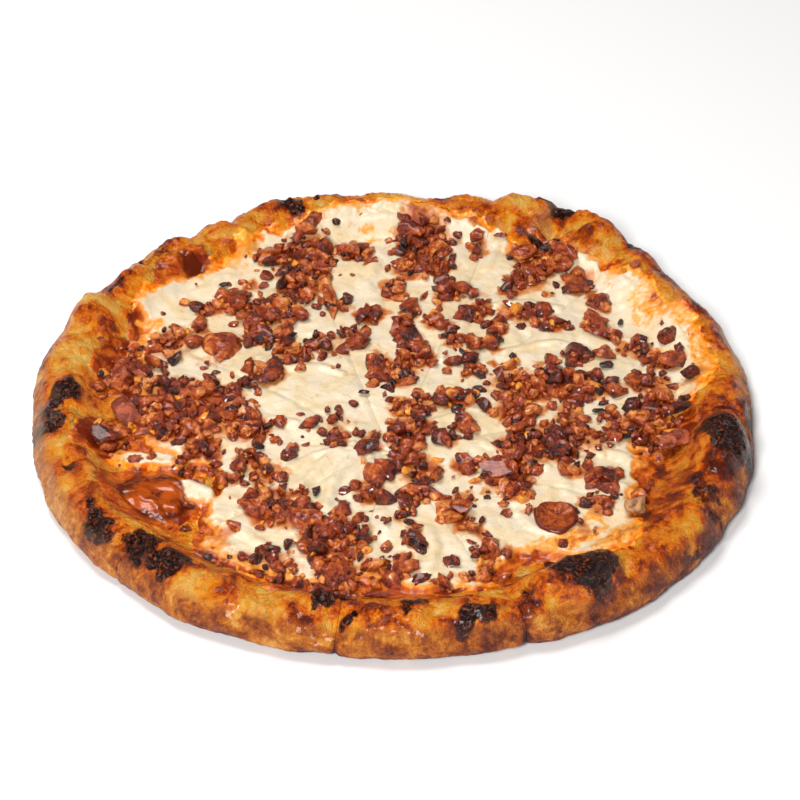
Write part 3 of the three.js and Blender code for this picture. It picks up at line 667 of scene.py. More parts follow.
# Heaps of bacon, in the form of the charred spots.
HEAPS = [
    (-45, 118, 22, 16, 60, 1), (-62, 122, 9, 8, 0, 1), (-47, 95, 14, 14, 0, 1), (-21, 126, 8, 8, 0, 1),
    (-72, 98, 6, 6, 0, 0.8), (-79, 82, 7, 11, 0, 0.9), (-62, 72, 18, 12, 0, 1), (-92, 75, 8, 8, 0, 0.9),
    (-96, 58, 6, 5, 0, 0.9), (-110, 48, 12, 12, 0, 0.9), (-65, 52, 10, 9, 0, 0.9), (-55, 57, 5, 5, 0, 0.9),
    (-52, 45, 7, 8, 0, 0.9), (-45, 35, 9, 8, 0, 0.9), (-30, 45, 14, 12, 0, 0.55), (-25, 78, 10, 8, 0, 0.7),
    (-10, 70, 9, 6, 20, 0.9), (-18, 50, 8, 8, 0, 0.9), (-5, 30, 6, 10, 0, 0.9), (-2, 93, 4, 8, 0, 0.8),
    (-60, 18, 10, 9, 0, 0.9), (-90, 30, 7, 7, 0, 0.5), (-92, 17, 8, 3, 0, 0.5), (-100, 5, 22, 14, 0, 1),
    (-85, 5, 15, 8, 0, 0.9), (-100, -12, 30, 24, 0, 1), (-120, 10, 16, 12, 0, 0.7), (-138, 38, 16, 12, 0, 0.5),
    (-128, 30, 14, 14, 0, 0.8), (-140, 12, 8, 10, 0, 0.7), (-142, -33, 7, 6, 0, 0.9),
    (-42, 148, 14, 8, 60, 0.6), (16, 135, 26, 14, 90, 1), (48, 150, 10, 9, 0, 0.9), (45, 128, 6, 9, 0, 0.8),
    (5, 112, 8, 8, 0, 0.9), (25, 112, 10, 8, 0, 0.9), (28, 92, 9, 12, 0, 0.9), (10, 103, 8, 5, 0, 0.8),
    (0, 92, 7, 9, 0, 0.8), (6, 60, 6, 16, 0, 1), (68, 125, 9, 7, 0, 0.9), (72, 110, 12, 17, 0, 1),
    (88, 118, 8, 11, 0, 0.9), (95, 95, 8, 11, 0, 0.9), (106, 80, 5, 11, 0, 0.9), (80, 90, 4, 6, 0, 0.7),
    (62, 92, 10, 5, 0, 0.8), (43, 90, 5, 4, 0, 0.7), (45, 72, 8, 8, 0, 1), (68, 72, 12, 8, -10, 1),
    (52, 58, 6, 6, 0, 0.9), (80, 60, 10, 5, -20, 0.9), (105, 58, 16, 6, -60, 0.9), (22, 62, 7, 6, 0, 0.9),
    (30, 50, 5, 6, 0, 0.8), (40, 42, 7, 4, 20, 0.6), (52, 45, 5, 8, 0, 0.8), (91, 37, 7, 9, 0, 0.9),
    (115, 42, 6, 6, 0, 0.8), (125, 38, 8, 8, 0, 0.9), (135, 30, 10, 8, 0, 0.9), (80, 25, 5, 5, 0, 0.8),
    (72, 28, 4, 5, 0, 0.7), (52, 30, 4, 4, 0, 0.7), (42, 25, 6, 8, 0, 0.8), (58, 24, 4, 8, 0, 0.7),
    (12, 35, 10, 14, 0, 1), (30, 30, 4, 8, 0, 0.7), (0, 25, 8, 12, 0, 0.9), (78, 10, 34, 12, 0, 1),
    (125, 12, 10, 8, 0, 0.8), (150, 12, 12, 7, 0, 0.7), (5, 15, 6, 6, 0, 0.8), (-68, -22, 12, 13, 0, 1),
    (-88, -42, 10, 15, 0, 1), (-65, -48, 9, 7, 0, 0.9), (-57, -57, 8, 9, 0, 0.8), (-75, -60, 8, 7, 0, 0.8),
    (-58, -65, 6, 6, 0, 0.8), (-98, -47, 6, 4, 0, 0.7), (-130, -25, 18, 13, 0, 0.7), (-52, -86, 17, 10, 0, 1),
    (-48, -72, 12, 5, 0, 0.9), (-26, -105, 17, 17, 0, 1), (-25, -127, 12, 11, 0, 1), (-8, -125, 8, 8, 0, 0.8),
    (-10, -100, 6, 6, 0, 0.8), (-10, -70, 8, 11, 0, 0.8), (-78, -103, 8, 8, 0, 0.8), (-80, -118, 8, 7, 0, 0.7),
    (-60, -120, 20, 9, 0, 0.7), (-45, -136, 14, 5, 0, 0.7), (-15, -141, 22, 4, 0, 0.65),
    (22, -136, 10, 5, 0, 0.6), (-95, -90, 8, 6, 0, 0.7), (-24, -20, 10, 12, 0, 0.5), (-25, -32, 5, 8, 0, 0.8),
    (-10, -28, 6, 6, 0, 0.8), (-10, -38, 7, 5, 0, 0.9), (10, -5, 12, 8, 0, 0.9), (30, 0, 12, 8, 0, 1),
    (7, -28, 10, 17, 0, 1), (15, -22, 5, 8, 0, 0.9), (35, -20, 6, 6, 0, 0.8), (28, -32, 5, 6, 0, 0.7),
    (75, -33, 26, 15, 0, 1), (60, -8, 14, 10, 0, 1), (85, -12, 8, 8, 0, 0.8), (122, -20, 14, 19, 0, 1),
    (135, -5, 16, 10, 0, 0.9), (145, -12, 10, 9, 0, 0.7), (56, -57, 13, 13, 0, 1), (60, -70, 8, 6, 0, 0.9),
    (35, -50, 7, 10, 0, 0.8), (45, -68, 4, 4, 0, 0.7), (34, -75, 6, 6, 0, 0.7), (12, -52, 13, 10, 0, 0.9),
    (12, -72, 10, 9, 0, 0.8), (6, -87, 5, 8, 0, 0.8), (10, -105, 5, 9, 0, 0.8), (5, -122, 6, 9, 0, 0.8),
    (33, -88, 6, 12, 0, 0.9), (42, -100, 5, 7, 0, 0.8), (42, -118, 5, 11, 0, 0.8), (53, -110, 4, 7, 0, 0.7),
    (88, -55, 8, 6, 0, 0.8), (102, -58, 7, 7, 0, 0.8), (95, -78, 8, 8, 0, 0.8), (104, -18, 4, 12, 0, 0.8),
    (40, -128, 14, 5, 10, 0.6), (64, -84, 5, 4, 0, 0.7), (88, -97, 5, 4, 0, 0.7), (122, -74, 8, 8, 0, 0.6),
]
# Browned cheese, pools of sauce and the folds in the larger pool, in the same form.
BROWNED = [
    (130, 72, 10, 15, 0, 0.6), (-80, 122, 10, 15, 0, 0.5), (34, 163, 16, 6, 0, 0.7), (75, -107, 22, 7, 20, 0.8),
    (-10, 140, 9, 6, 0, 0.6), (112, 102, 8, 10, 0, 0.5), (-92, -100, 14, 10, 40, 0.6),
    (-58, -128, 20, 7, 0, 0.7), (122, 44, 12, 6, 0, 0.4), (60, 138, 8, 8, 0, 0.4), (96, -90, 12, 8, 0, 0.6),
    (134, 8, 12, 6, 0, 0.5), (-85, 68, 6, 5, 0, 0.4), (-120, 62, 8, 9, 0, 0.7), (-22, 158, 14, 5, 0, 0.6),
    (154, 32, 7, 22, 0, 0.75), (118, 112, 10, 14, -40, 0.6), (146, 62, 8, 14, 20, 0.7),
    (106, -104, 18, 9, 45, 0.85), (42, 152, 14, 5, -15, 0.6), (140, 85, 8, 10, 20, 0.6),
]
SAUCE_POOLS = [(-109, -73, 18, 14, -60, 1), (-104, 108, 7, 10, 0, 0.7)]
POOL_FOLDS = [(-114, -76, 8, 2.6, -41, 1), (-121, -91, 5, 2, -60, 0.8), (-104, -66, 5, 2, -30, 0.6)]

# Bearing, spread and reach of the thin film beyond the body of the cheese.
THIN_RUNS = [
    (134, 13, 19), (112, 14, 8), (14, 20, 11), (46, 10, 12), (75, 8, 7), (100, 8, 4), (314, 9, 14),
    (345, 6, -4),
]
# Strands and folds of pulled cheese: points along each, width and height. Past the reach none shows.
STRAND_REACH = 26
STRANDS = [
    ([(-14, -38), (-22, -52), (-27, -66), (-30, -80)], 3.2, 1.5),
    ([(-18, -36), (-30, -48), (-38, -60), (-42, -76)], 2.8, 1.3),
    ([(-20, -42), (-36, -44), (-48, -52)], 2.6, 1.1), ([(-10, -44), (-16, -58), (-18, -72)], 2.4, 1.0),
    ([(-66, 12), (-52, 24), (-36, 26), (-24, 20)], 2.6, 1.2), ([(-72, -2), (-62, -14), (-46, -20)], 3.0, 1.3),
    ([(36, 62), (28, 48), (26, 34)], 3.4, 1.6), ([(56, 40), (74, 46), (92, 44)], 2.4, 1.0),
    ([(52, 78), (70, 82), (84, 76)], 2.6, 1.0), ([(-8, 118), (-12, 98), (-8, 80)], 3.4, 1.1),
    ([(48, 112), (52, 124), (56, 138)], 3.0, 1.0), ([(44, -34), (58, -42), (72, -52)], 2.6, 1.1),
    ([(92, -58), (104, -66), (116, -66)], 2.4, 1.2), ([(96, -38), (110, -44), (120, -54)], 3.0, 1.1),
    ([(-100, -36), (-88, -38), (-80, -32)], 2.6, 1.0), ([(-108, -56), (-96, -62), (-84, -70)], 4.0, 1.8),
    ([(-78, -92), (-66, -98), (-56, -108)], 3.0, 1.0), ([(16, -96), (20, -110), (16, -126)], 3.2, 1.0),
    ([(60, -84), (66, -96), (78, -100)], 2.8, 0.9), ([(84, -20), (90, -34), (100, -42)], 2.2, 1.3),
    ([(-104, 88), (-92, 96), (-84, 110)], 3.4, 1.0), ([(-70, 24), (-58, 34), (-40, 40)], 2.4, 1.0),
    ([(104, 96), (114, 84), (120, 68)], 3.2, 0.9), ([(4, -14), (16, -16), (30, -12)], 2.2, 1.0),
]


def strand_height(x, y):
    """Height of the pulled strands of cheese above the melted level."""
    total = np.zeros_like(x)
    bent_x, bent_y = x + 1.2 * lumps(x, y, 9, 171), y + 1.2 * lumps(x, y, 9, 173)
    for points, width, height in STRANDS:
        for (u0, v0), (u1, v1) in zip(points, points[1:]):
            near = (np.abs(x - (u0 + u1) / 2) < STRAND_REACH) & (np.abs(y - (v0 + v1) / 2) < STRAND_REACH)
            du, dv = u1 - u0, v1 - v0
            u, v = bent_x[near] - u0, bent_y[near] - v0
            along = np.clip((u * du + v * dv) / (du * du + dv * dv), 0, 1)
            away = np.hypot(u - along * du, v - along * dv) / width
            total[near] = np.maximum(total[near], height * np.clip(1 - (away / 1.4) ** 2, 0, 1) ** 1.6)
    return total


def cheese_edge(angle):
    a = np.radians(angle)
    recess = sum(depth * hump(bearing_to(angle, at), spread) for at, spread, depth in CHEESE_RECESSES)
    return CHEESE_RADIUS - recess + 3 * np.sin(5 * a) + 2 * np.sin(13 * a)


def cheese_level(x, y):
    """Level of the cheese above the table, away from its edge."""
    swell = sum(rise * np.exp(-((x - u) ** 2 + (y - v) ** 2) / size**2) for u, v, size, rise in CHEESE_SWELLS)
    return DOUGH_THICKNESS + CHEESE_THICKNESS + swell + 0.5 * ripple(x, y, 9)


def thin_edge(angle):
    """How far the thin outer film of cheese runs, past the body of it where it climbs the rim."""
    return cheese_edge(angle) + sum(out * hump(bearing_to(angle, at), spread) for at, spread, out in THIN_RUNS)


# Tongues of cheese that run out over the bare sauce, in the form of the charred spots.
CHEESE_TONGUES = [(-112, -43, 17, 5.5, -6, 1), (-90, -68, 12, 5.5, -38, 1), (-99, 28, 8, 4, 0, 0.8)]


def cheese_share(x, y):
    """How far a place is covered with cheese, from 0, bare sauce, to 1."""
    radius, angle = np.hypot(x, y), np.degrees(np.arctan2(y, x))
    frayed = thin_edge(angle) + 5.5 * rough(x, y, 13, 101) + 3 * rough(x, y, 5, 105)
    share = np.maximum(step_between(frayed - radius, -3, 6), spots(CHEESE_TONGUES, x, y, 0.35, 107))
    return share * (1 - step_between(radius, 159, 164))


def cut_groove(x, y):
    """Depth of the groove that the cutter left beside each cut."""
    total = np.zeros_like(x)
    for bearing, depth in zip(CUT_ANGLES, CUT_GROOVES):
        way = cut_way(bearing)
        along = (x - CUT_MEETING[0]) * way[0] + (y - CUT_MEETING[1]) * way[1]
        across = np.abs((x - CUT_MEETING[0]) * way[1] - (y - CUT_MEETING[1]) * way[0])
        here = depth * hump(across, 0.9 + 0.6 * depth) * (along > 0)
        total = np.maximum(total, here * (0.55 + 0.45 * lumps(x, y, 13, 111)))
    return total


def topping_top(x, y):
    """Height of the cheese and sauce, and how far they lie over the crust."""
    radius, angle = np.hypot(x, y), np.degrees(np.arctan2(y, x))
    crust = crust_top(x, y)
    share = cheese_share(x, y)
    heap = spots(HEAPS, x, y, 0.35, 121)
    climb = 7 * step_between(radius, INNER, INNER + 14)
    melted = 0.9 * rough(x, y, 13, 131) + 0.15 * rough(x, y, 5, 135) + 0.6 * lumps(x, y, 8, 139) ** 2
    melted += 1.1 * strand_height(x, y)
    cheese = np.maximum(cheese_level(x, y) + climb, crust + 0.9) + melted * (1 - 0.5 * heap) - cut_groove(x, y)
    pool = spots(SAUCE_POOLS, x, y, 0.4, 145)
    film = crust + 0.5 + 0.25 * rough(x, y, 7, 141)
    still = 11.4 + 2.0 * pool**2 + 1.2 * spots(POOL_FOLDS, x, y, 0.8, 149) + 0.5 * rough(x, y, 13, 147)
    film = np.maximum(film, film * (1 - pool) + still * pool)
    inner = step_between(cheese_edge(angle) + 5 + 5 * rough(x, y, 9, 151) - radius, -1.5, 2)
    wet = np.maximum(inner, step_between(spots(STAINED, x, y, 0.4, 71), 0.45, 0.75))
    wet *= 1 - step_between(radius, 158, 163)
    top = film + (cheese - film) * share**0.7
    return np.where(share > 0, top, film * wet + (crust - 1.1) * (1 - wet)), np.maximum(share, wet)


def melted_cheese():
    material, tree, shader = fresh_material(
        "melted_cheese", Specular_IOR_Level=0.35, Coat_Weight=0.15, Coat_Roughness=0.08,
        Subsurface_Weight=0.25, Subsurface_Radius=(1.0, 0.6, 0.35), Subsurface_Scale=0.0025,
    )
    broad = grain(tree, 60, 4, 0.6, 0.8)
    middling = grain(tree, 190, 5, 0.65, 0.6)
    fine = grain(tree, 700, 4, 0.65)
    cream = laid(tree, (226, 210, 182), broad, 0.4, 0.65, (224, 200, 158))
    cream = laid(tree, cream, middling, 0.55, 0.75, (208, 174, 126))
    browned = unsettled(tree, "brown", middling, 2.2)
    cream = laid(tree, cream, browned, 0.3, 0.75, (238, 162, 62))
    cream = laid(tree, cream, browned, 0.7, 1.1, (196, 96, 22))
    # Bacon fat stains the cheese orange round the heaps. Under the heaps it darkens on to red-brown, partly the fat
    # and partly painted shade between the crumbs.
    fat_and_painted_shade = unsettled(tree, "fat", middling, 0.9)
    cream = laid(tree, cream, fat_and_painted_shade, 0.3, 0.7, (206, 132, 70))
    cream = laid(tree, cream, fat_and_painted_shade, 0.62, 0.95, (158, 62, 18))
    cream = laid(tree, cream, fat_and_painted_shade, 0.9, 1.2, (100, 28, 6))
    share = unsettled(tree, "cheese", middling, 0.7)
    cream = laid(tree, cream, share, 0.98, 0.6, (232, 146, 54))
    colour = blended(tree, between(tree, share, 0.2, 0.55), sauce_colour(tree, broad, middling), cream)
    pool = between(tree, measure(tree, "pool"), 0.25, 0.6)
    deep = weighed(tree, [(broad, 0.9), (middling, 0.3), (measure(tree, "pool"), -0.3)])
    pooled = laid(tree, (176, 74, 4), deep, 0.22, 0.42, (92, 26, 2))
    colour = blended(tree, pool, colour, pooled)
    bare = between(tree, unsettled(tree, "cover", middling, 1.1), 0.8, 0.4)
    tree.links.new(blended(tree, bare, colour, toasted(tree, 0.2)), shader.inputs["Base Color"])
    dullness = weighed(tree, [(measure(tree, "cheese"), 0.12), (fine, 0.22), (pool, -0.03), (1.0, 0.12)])
    tree.links.new(dullness, shader.inputs["Roughness"])
    relief = weighed(tree, [(fine, 0.5), (middling, 1.0)])
    unpooled = weighed(tree, [(pool, -0.95), (1.0, 1.0)])
    bumps(tree, shader, combined(tree, "MULTIPLY", relief, unpooled), 0.0014, 0.35)
    return material


cheese_material = melted_cheese()
layer_cells = round(2 * LAYER_REACH / LAYER_CELL)
bm = bmesh.new()
bmesh.ops.create_grid(bm, x_segments=layer_cells, y_segments=layer_cells, size=LAYER_REACH * MM)
whole_layer = bpy.data.meshes.new("whole_layer")
bm.to_mesh(whole_layer)
x, y, _ = points_of(whole_layer).T
level, cover = topping_top(x, y)
bm.verts.ensure_lookup_table()
empty = (cover < 0.02) | (np.hypot(x, y) > LAYER_REACH)
bmesh.ops.delete(bm, geom=[bm.verts[i] for i in np.flatnonzero(empty)], context="VERTS")
loose = [vert for vert in bm.verts if not vert.link_faces]
bmesh.ops.delete(bm, geom=loose, context="VERTS")
bm.to_mesh(whole_layer)
bm.free()
x, y, _ = points_of(whole_layer).T
set_points(whole_layer, np.stack([x, y, topping_top(x, y)[0]], axis=1))

for index in range(len(CUT_ANGLES)):
    bm = sliced(whole_layer, index, 2, LAYER_SLIT, False)
    wall = bmesh.ops.extrude_edge_only(bm, edges=[edge for edge in bm.edges if edge.is_boundary])["geom"]
    for vert in wall:
        if isinstance(vert, bmesh.types.BMVert):
            vert.co.z = (DOUGH_THICKNESS - 0.8) * MM
    bmesh.ops.holes_fill(bm, edges=[edge for edge in bm.edges if edge.is_boundary], sides=0)
    bmesh.ops.recalc_face_normals(bm, faces=bm.faces)
    number = f"{index + 1:02d}"
    layer = mesh_object(f"melted_topping_{number}", bm, cheese_material)
    layer.data.set_sharp_from_angle(angle=math.radians(65))
    x, y, _ = points_of(layer.data).T
    paint(layer.data, "cheese", cheese_share(x, y))
    paint(layer.data, "cover", topping_top(x, y)[1])
    paint(layer.data, "pool", spots(SAUCE_POOLS, x, y, 0.4, 145))
    # Nearness to the heaps, for the fat stain and for the painted shade between the crumbs.
    paint(layer.data, "fat", spots(HEAPS, x, y, 0.6, 121))
    paint(layer.data, "brown", spots(BROWNED, x, y, 0.5, 161))
    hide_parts(f"cheese_slice_{number}")
    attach(layer, "root")
bpy.data.meshes.remove(whole_layer)

# ---------- bacon crumbs ----------
# Cooked bacon crumbled over the cheese in heaps before baking. The crumbs fuse with the cheese
# where they sink in, shine with fat, and run from pink through red-brown to burnt.
CRUMB_COUNT = 88
CRUMB_SIZES = (9.5, 5.5)
CRUMB_SEED = 7
CRUMB_CLEARANCE = 0.8
CRUMB_BODY = 0.7
CRUMB_REACH = 141
CUT_CLEARANCE = 1.4

# Middle, half length, half width, turn and share of each heap that the largest crumbs lie in.
CRUMB_HEAPS = [
    (-105, -12, 40, 28, 0, 8), (-52, 105, 20, 32, 10, 5), (18, 130, 18, 28, 0, 4), (8, 20, 16, 44, 0, 5),
    (100, -12, 56, 22, -8, 11), (-28, -98, 22, 24, 0, 4), (74, 112, 18, 24, 0, 4), (62, 62, 28, 14, -12, 3),
    (-75, 52, 34, 18, 15, 5), (45, -40, 22, 24, 0, 4), (130, 35, 18, 14, 0, 2), (0, 0, 130, 130, 0, 15),
]
# Large toppings: middle, length, width, height and turn of each.
BACON_CHUNKS = [
    (10, 141, 15, 13, 8, 60), (94, 94, 14, 13, 8, 90), (106, 79, 13, 11, 8, 70), (103, 57, 20, 10, 7, -60),
    (91, 37, 14, 13, 7, 10), (138, 46, 12, 10, 7, 60), (139, 29, 13, 11, 7, -30), (28, 92, 14, 13, 8, 80),
    (70, 122, 15, 12, 8, -20), (90, 118, 15, 11, 8, -50), (38, 70, 14, 10, 8, 80), (10, 50, 17, 12, 8, 70),
    (79, 23, 11, 10, 6, 0), (72, 103, 15, 13, 8, 20), (37, -21, 12, 11, 6, -40), (51, -57, 18, 13, 8, -35),
    (101, -59, 12, 12, 8, 0), (11, -106, 15, 9, 7, -55), (6, -124, 13, 10, 6, 60), (-21, 126, 15, 13, 9, 40),
    (-62, 119, 16, 13, 8, -20), (-79, 82, 18, 12, 8, 70), (-64, 52, 15, 12, 7, -45), (-59, 20, 20, 10, 8, 55),
    (-136, -31, 13, 12, 6, 0), (-61, -83, 18, 12, 8, -60), (-40, -91, 16, 14, 7, 0), (-24, -127, 18, 15, 9, 80),
    (-2, -56, 14, 13, 7, 50), (-13, -40, 13, 11, 7, 15), (-67, -21, 17, 14, 7, -40),
]
HAM_PIECES = [
    (-129, -7, 20, 15, 7, -60), (-131, 17, 16, 10, 6, -70), (-42, 146, 17, 12, 7, 65),
    (135, -33, 17, 11, 6, 35),
]
GLAZED_CHUNK = (-85, 43, 20, 15, 9, -15)
MUSHROOM_PIECE = (112, -84, 15, 12, 7, 10)
BACON_STRIP = (-31, 82, 26, 6, 6, 100)
PEPPERONI_PLACE = (76, -90, 11)
BACON_ARC_PLACE = (12, -83, 17.6)
LARGE_TOPPINGS = [*BACON_CHUNKS, *HAM_PIECES, GLAZED_CHUNK, MUSHROOM_PIECE, BACON_STRIP]
ROOM_TAKEN = [(x, y, length / 2) for x, y, length, *_ in LARGE_TOPPINGS] + [PEPPERONI_PLACE, BACON_ARC_PLACE]


def drawn_from(seed):
    state = seed
    while True:
        state = (state * 1664525 + 1013904223) % 4294967296
        yield state / 4294967296


def distance_to_cut(x, y):
    least = np.inf
    for bearing in CUT_ANGLES:
        way = cut_way(bearing)
        u, v = x - CUT_MEETING[0], y - CUT_MEETING[1]
        beside = u * way[0] + v * way[1] > 0
        least = min(least, abs(u * way[1] - v * way[0]) if beside else math.hypot(u, v))
    return least


def fused_crumbs():
    """The largest crumbs, where the solid model has them: x, y, length, width and turn."""
    draws = drawn_from(CRUMB_SEED)
    taken = []
    for _ in range(9000):
        if len(taken) == CRUMB_COUNT:
            break
        length = CRUMB_SIZES[0] + (CRUMB_SIZES[1] - CRUMB_SIZES[0]) * len(taken) / CRUMB_COUNT
        pick = next(draws) * sum(heap[5] for heap in CRUMB_HEAPS)
        for u, v, half_length, half_width, turn, share in CRUMB_HEAPS:
            pick -= share
            if pick < 0:
                break
        reach, around = math.sqrt(next(draws)), 2 * math.pi * next(draws)
        along, across = half_length * reach * math.cos(around), half_width * reach * math.sin(around)
        a = math.radians(turn)
        x, y = u + along * math.cos(a) - across * math.sin(a), v + along * math.sin(a) + across * math.cos(a)
        edge = min(cheese_edge(math.degrees(math.atan2(y, x))) - 5, CRUMB_REACH)
        room = length / 2
        if math.hypot(x, y) + room > edge or distance_to_cut(x, y) < room + CUT_CLEARANCE / 2 + CRUMB_CLEARANCE:
            continue
        others = ROOM_TAKEN + [(t[0], t[1], t[2] / 2) for t in taken]
        if all(math.hypot(x - o[0], y - o[1]) > room + o[2] + CRUMB_CLEARANCE for o in others):
            taken.append((x, y, length, length * (0.65 + 0.3 * next(draws)), 360 * next(draws)))
    return np.array(taken)


def ball_points(detail):
    """Points and mesh of a ball one unit across its radius, to be shaped into a crumb."""
    bm = bmesh.new()
    bmesh.ops.create_icosphere(bm, subdivisions=detail, radius=1)
    ball = bpy.data.meshes.new("ball")
    bm.to_mesh(ball)
    bm.free()
    return points_of(ball) * MM, ball


def turned_ways(draw, count):
    """Random turns, as count rotation matrices."""
    q = draw.normal(size=(count, 4))
    w, i, j, k = (q / np.linalg.norm(q, axis=1, keepdims=True)).T
    rows = [1 - 2 * (j * j + k * k), 2 * (i * j - k * w), 2 * (i * k + j * w),
            2 * (i * j + k * w), 1 - 2 * (i * i + k * k), 2 * (j * k - i * w),
            2 * (i * k - j * w), 2 * (j * k + i * w), 1 - 2 * (i * i + j * j)]
    return np.stack(rows, axis=1).reshape(count, 3, 3)


def torn_lumps(draw, ball, count, knobs, depth):
    """Shapes a ball into many torn lumps, each of a few fused knobs, ragged all over."""
    ways = draw.normal(size=(count, knobs, 3))
    ways /= np.linalg.norm(ways, axis=2, keepdims=True)
    near = np.einsum("vk,cnk->cvn", ball, ways).max(axis=2)
    knob = np.sqrt(np.clip(1 - (1 - near) / 0.5, 0, 1))
    ragged = np.clip(draw.normal(scale=0.15, size=(count, len(ball))), -0.3, 0.3)
    shapes = ball[None] * (1 - depth + depth * knob + ragged)[:, :, None]
    flats = draw.normal(size=(count, 6, 3))
    flats /= np.linalg.norm(flats, axis=2, keepdims=True)
    for side in range(6):
        beyond = np.einsum("cvk,ck->cv", shapes, flats[:, side]) - draw.uniform(0.35, 0.75, (count, 1))
        shapes -= 0.95 * np.clip(beyond, 0, None)[:, :, None] * flats[:, side][:, None]
    return shapes


def strewn_crumbs(name, detail, places, seed, knobs, depth, material):
    """Makes one piece of many crumbs. Each place is x, y, z, length, width, height, turn, tone."""
    draw = np.random.default_rng(seed)
    places = np.asarray(places, float)
    ball, template = ball_points(detail)
    shapes = torn_lumps(draw, ball, len(places), knobs, depth)
    shapes = np.einsum("cvk,clk->cvl", shapes, turned_ways(draw, len(places)))
    reach = np.abs(shapes).max(axis=1, keepdims=True)
    shapes *= places[:, None, 3:6] / 2 / reach
    turn = np.radians(places[:, 6])[:, None]
    u, v, w = shapes[:, :, 0], shapes[:, :, 1], shapes[:, :, 2]
    points = np.stack([
        places[:, 0:1] + u * np.cos(turn) - v * np.sin(turn),
        places[:, 1:2] + u * np.sin(turn) + v * np.cos(turn),
        places[:, 2:3] + w,
    ], axis=2)
    bm = bmesh.new()
    for _ in range(len(places)):
        bm.from_mesh(template)
    piece = mesh_object(name, bm, material)
    set_points(piece.data, points.reshape(-1, 3))
    piece.data.set_sharp_from_angle(angle=math.radians(56))
    # Painted light and shade: with the bacon's colours, which grow lighter with the tone, each crumb's top is
    # painted lighter and its underside darker.
    raised = 0.15 * (2 * w / places[:, 5:6]) - 0.08
    paint(piece.data, "tone", (places[:, 7:8] + raised + 0.08 * draw.normal(size=w.shape)).ravel())
    bpy.data.meshes.remove(template)
    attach(piece, "root")
    return piece


# Patches of cheese that stay clear of crumbs, in the form of the heaps.
CLEAR_CHEESE = [
    (-90, 107, 15, 16, 0, 1), (-42, 4, 24, 19, 0, 1), (-12, 94, 10, 20, 0, 1), (-11, 144, 13, 11, 0, 1),
    (43, 107, 13, 11, 0, 1), (118, 73, 15, 22, 20, 1), (68, 44, 20, 9, 15, 1), (43, -35, 12, 9, 0, 1),
    (110, -46, 14, 8, 0, 1), (-32, -54, 15, 16, 0, 1), (-65, -102, 18, 12, 0, 0.9), (20, -108, 12, 18, 0, 1),
    (66, -94, 15, 11, 0, 1), (-107, -39, 12, 6, 0, 1), (-112, -72, 22, 17, -60, 1), (28, 152, 10, 8, 0, 0.8),
    (52, 130, 6, 12, 0, 0.8), (112, 100, 12, 12, 0, 0.9), (-100, 30, 10, 6, 0, 0.7), (70, 92, 8, 6, 0, 0.7),
]


# Bits that burnt black: x, y, length, width and turn of each.
BURNT_BITS = [
    (99, -9, 9, 4, 5), (109, -30, 11, 5, 8), (65, -50, 8, 5, 0), (106, 26, 8, 5, 10), (54, -35, 7, 5, 30),
    (-63, -37, 7, 5, 0), (-50, 53, 7, 4, 20), (-58, -72, 9, 6, -20), (-35, -70, 8, 5, 75), (-24, -127, 8, 7, 0),
    (70, -8, 6, 4, 40), (-13, 3, 6, 4, 0), (60, 33, 6, 4, 60), (115, 63, 6, 3, 80), (-86, 96, 6, 4, 0),
    (-142, 20, 6, 4, 70),
]


def strewn_places(seed, count, smallest, largest, packing, pile, stray):
    """Draws places for crumbs where the heaps are, the largest first."""
    draw = np.random.default_rng(seed)
    sizes = np.sort(smallest + (largest - smallest) * draw.random(count) ** 2)[::-1]
    x, y = draw.uniform(-150, 150, (2, count * 60))
    heap = spots(HEAPS, x, y, 0.3, 121)
    edge = np.maximum(thin_edge(np.degrees(np.arctan2(y, x))) - 3, 143)
    clear = spots(CLEAR_CHEESE, x, y, 0.35, 231)
    strings = step_between(rough(x, y, 14, 235), 0.05, 0.45)
    chance = np.maximum(heap**1.5, stray * (0.25 + 2.2 * strings)) * (1 - 0.93 * clear)
    fits = (draw.random(len(x)) < chance) & (np.hypot(x, y) < np.minimum(edge, 150))
    x, y, heap = x[fits], y[fits], heap[fits]
    chosen = []
    rank = 0
    for size in sizes:
        while rank < len(x):
            u, v = x[rank], y[rank]
            rank += 1
            if chosen:
                apart = np.hypot(*(np.array([(c[0], c[1]) for c in chosen[-900:]]) - (u, v)).T)
                if np.any(apart < packing * (size + np.array([c[2] for c in chosen[-900:]])) / 2):
                    continue
            chosen.append((u, v, size, heap[rank - 1]))
            break
    x, y, size, heap = np.array(chosen).T
    height = size * draw.uniform(0.6, 0.85, len(x))
    z = topping_top(x, y)[0] + height * draw.uniform(-0.05, 0.22, len(x)) + pile * heap * draw.random(len(x)) ** 2
    tone = np.clip(0.455 + 0.13 * draw.normal(size=len(x)) + 0.1 * lumps(x, y, 18, seed + 3), 0.14, 0.78)
    odd = draw.random(len(x))
    tone = np.where(odd < 0.008, 0.1, np.where((odd > 0.94) & (size < 7), 0.93, tone))
    width = size * draw.uniform(0.45, 1, len(x))
    return np.stack([x, y, z, size, width, height, 360 * draw.random(len(x)), tone], axis=1)


def roughened(tree, shader, fine, middling, least, distance, strength, share=0.5):
    """Gives a cooked piece its uneven gloss and its grain."""
    tree.links.new(weighed(tree, [(fine, 0.3), (1.0, least)]), shader.inputs["Roughness"])
    bumps(tree, shader, weighed(tree, [(fine, share), (middling, 1.0)]), distance, strength)


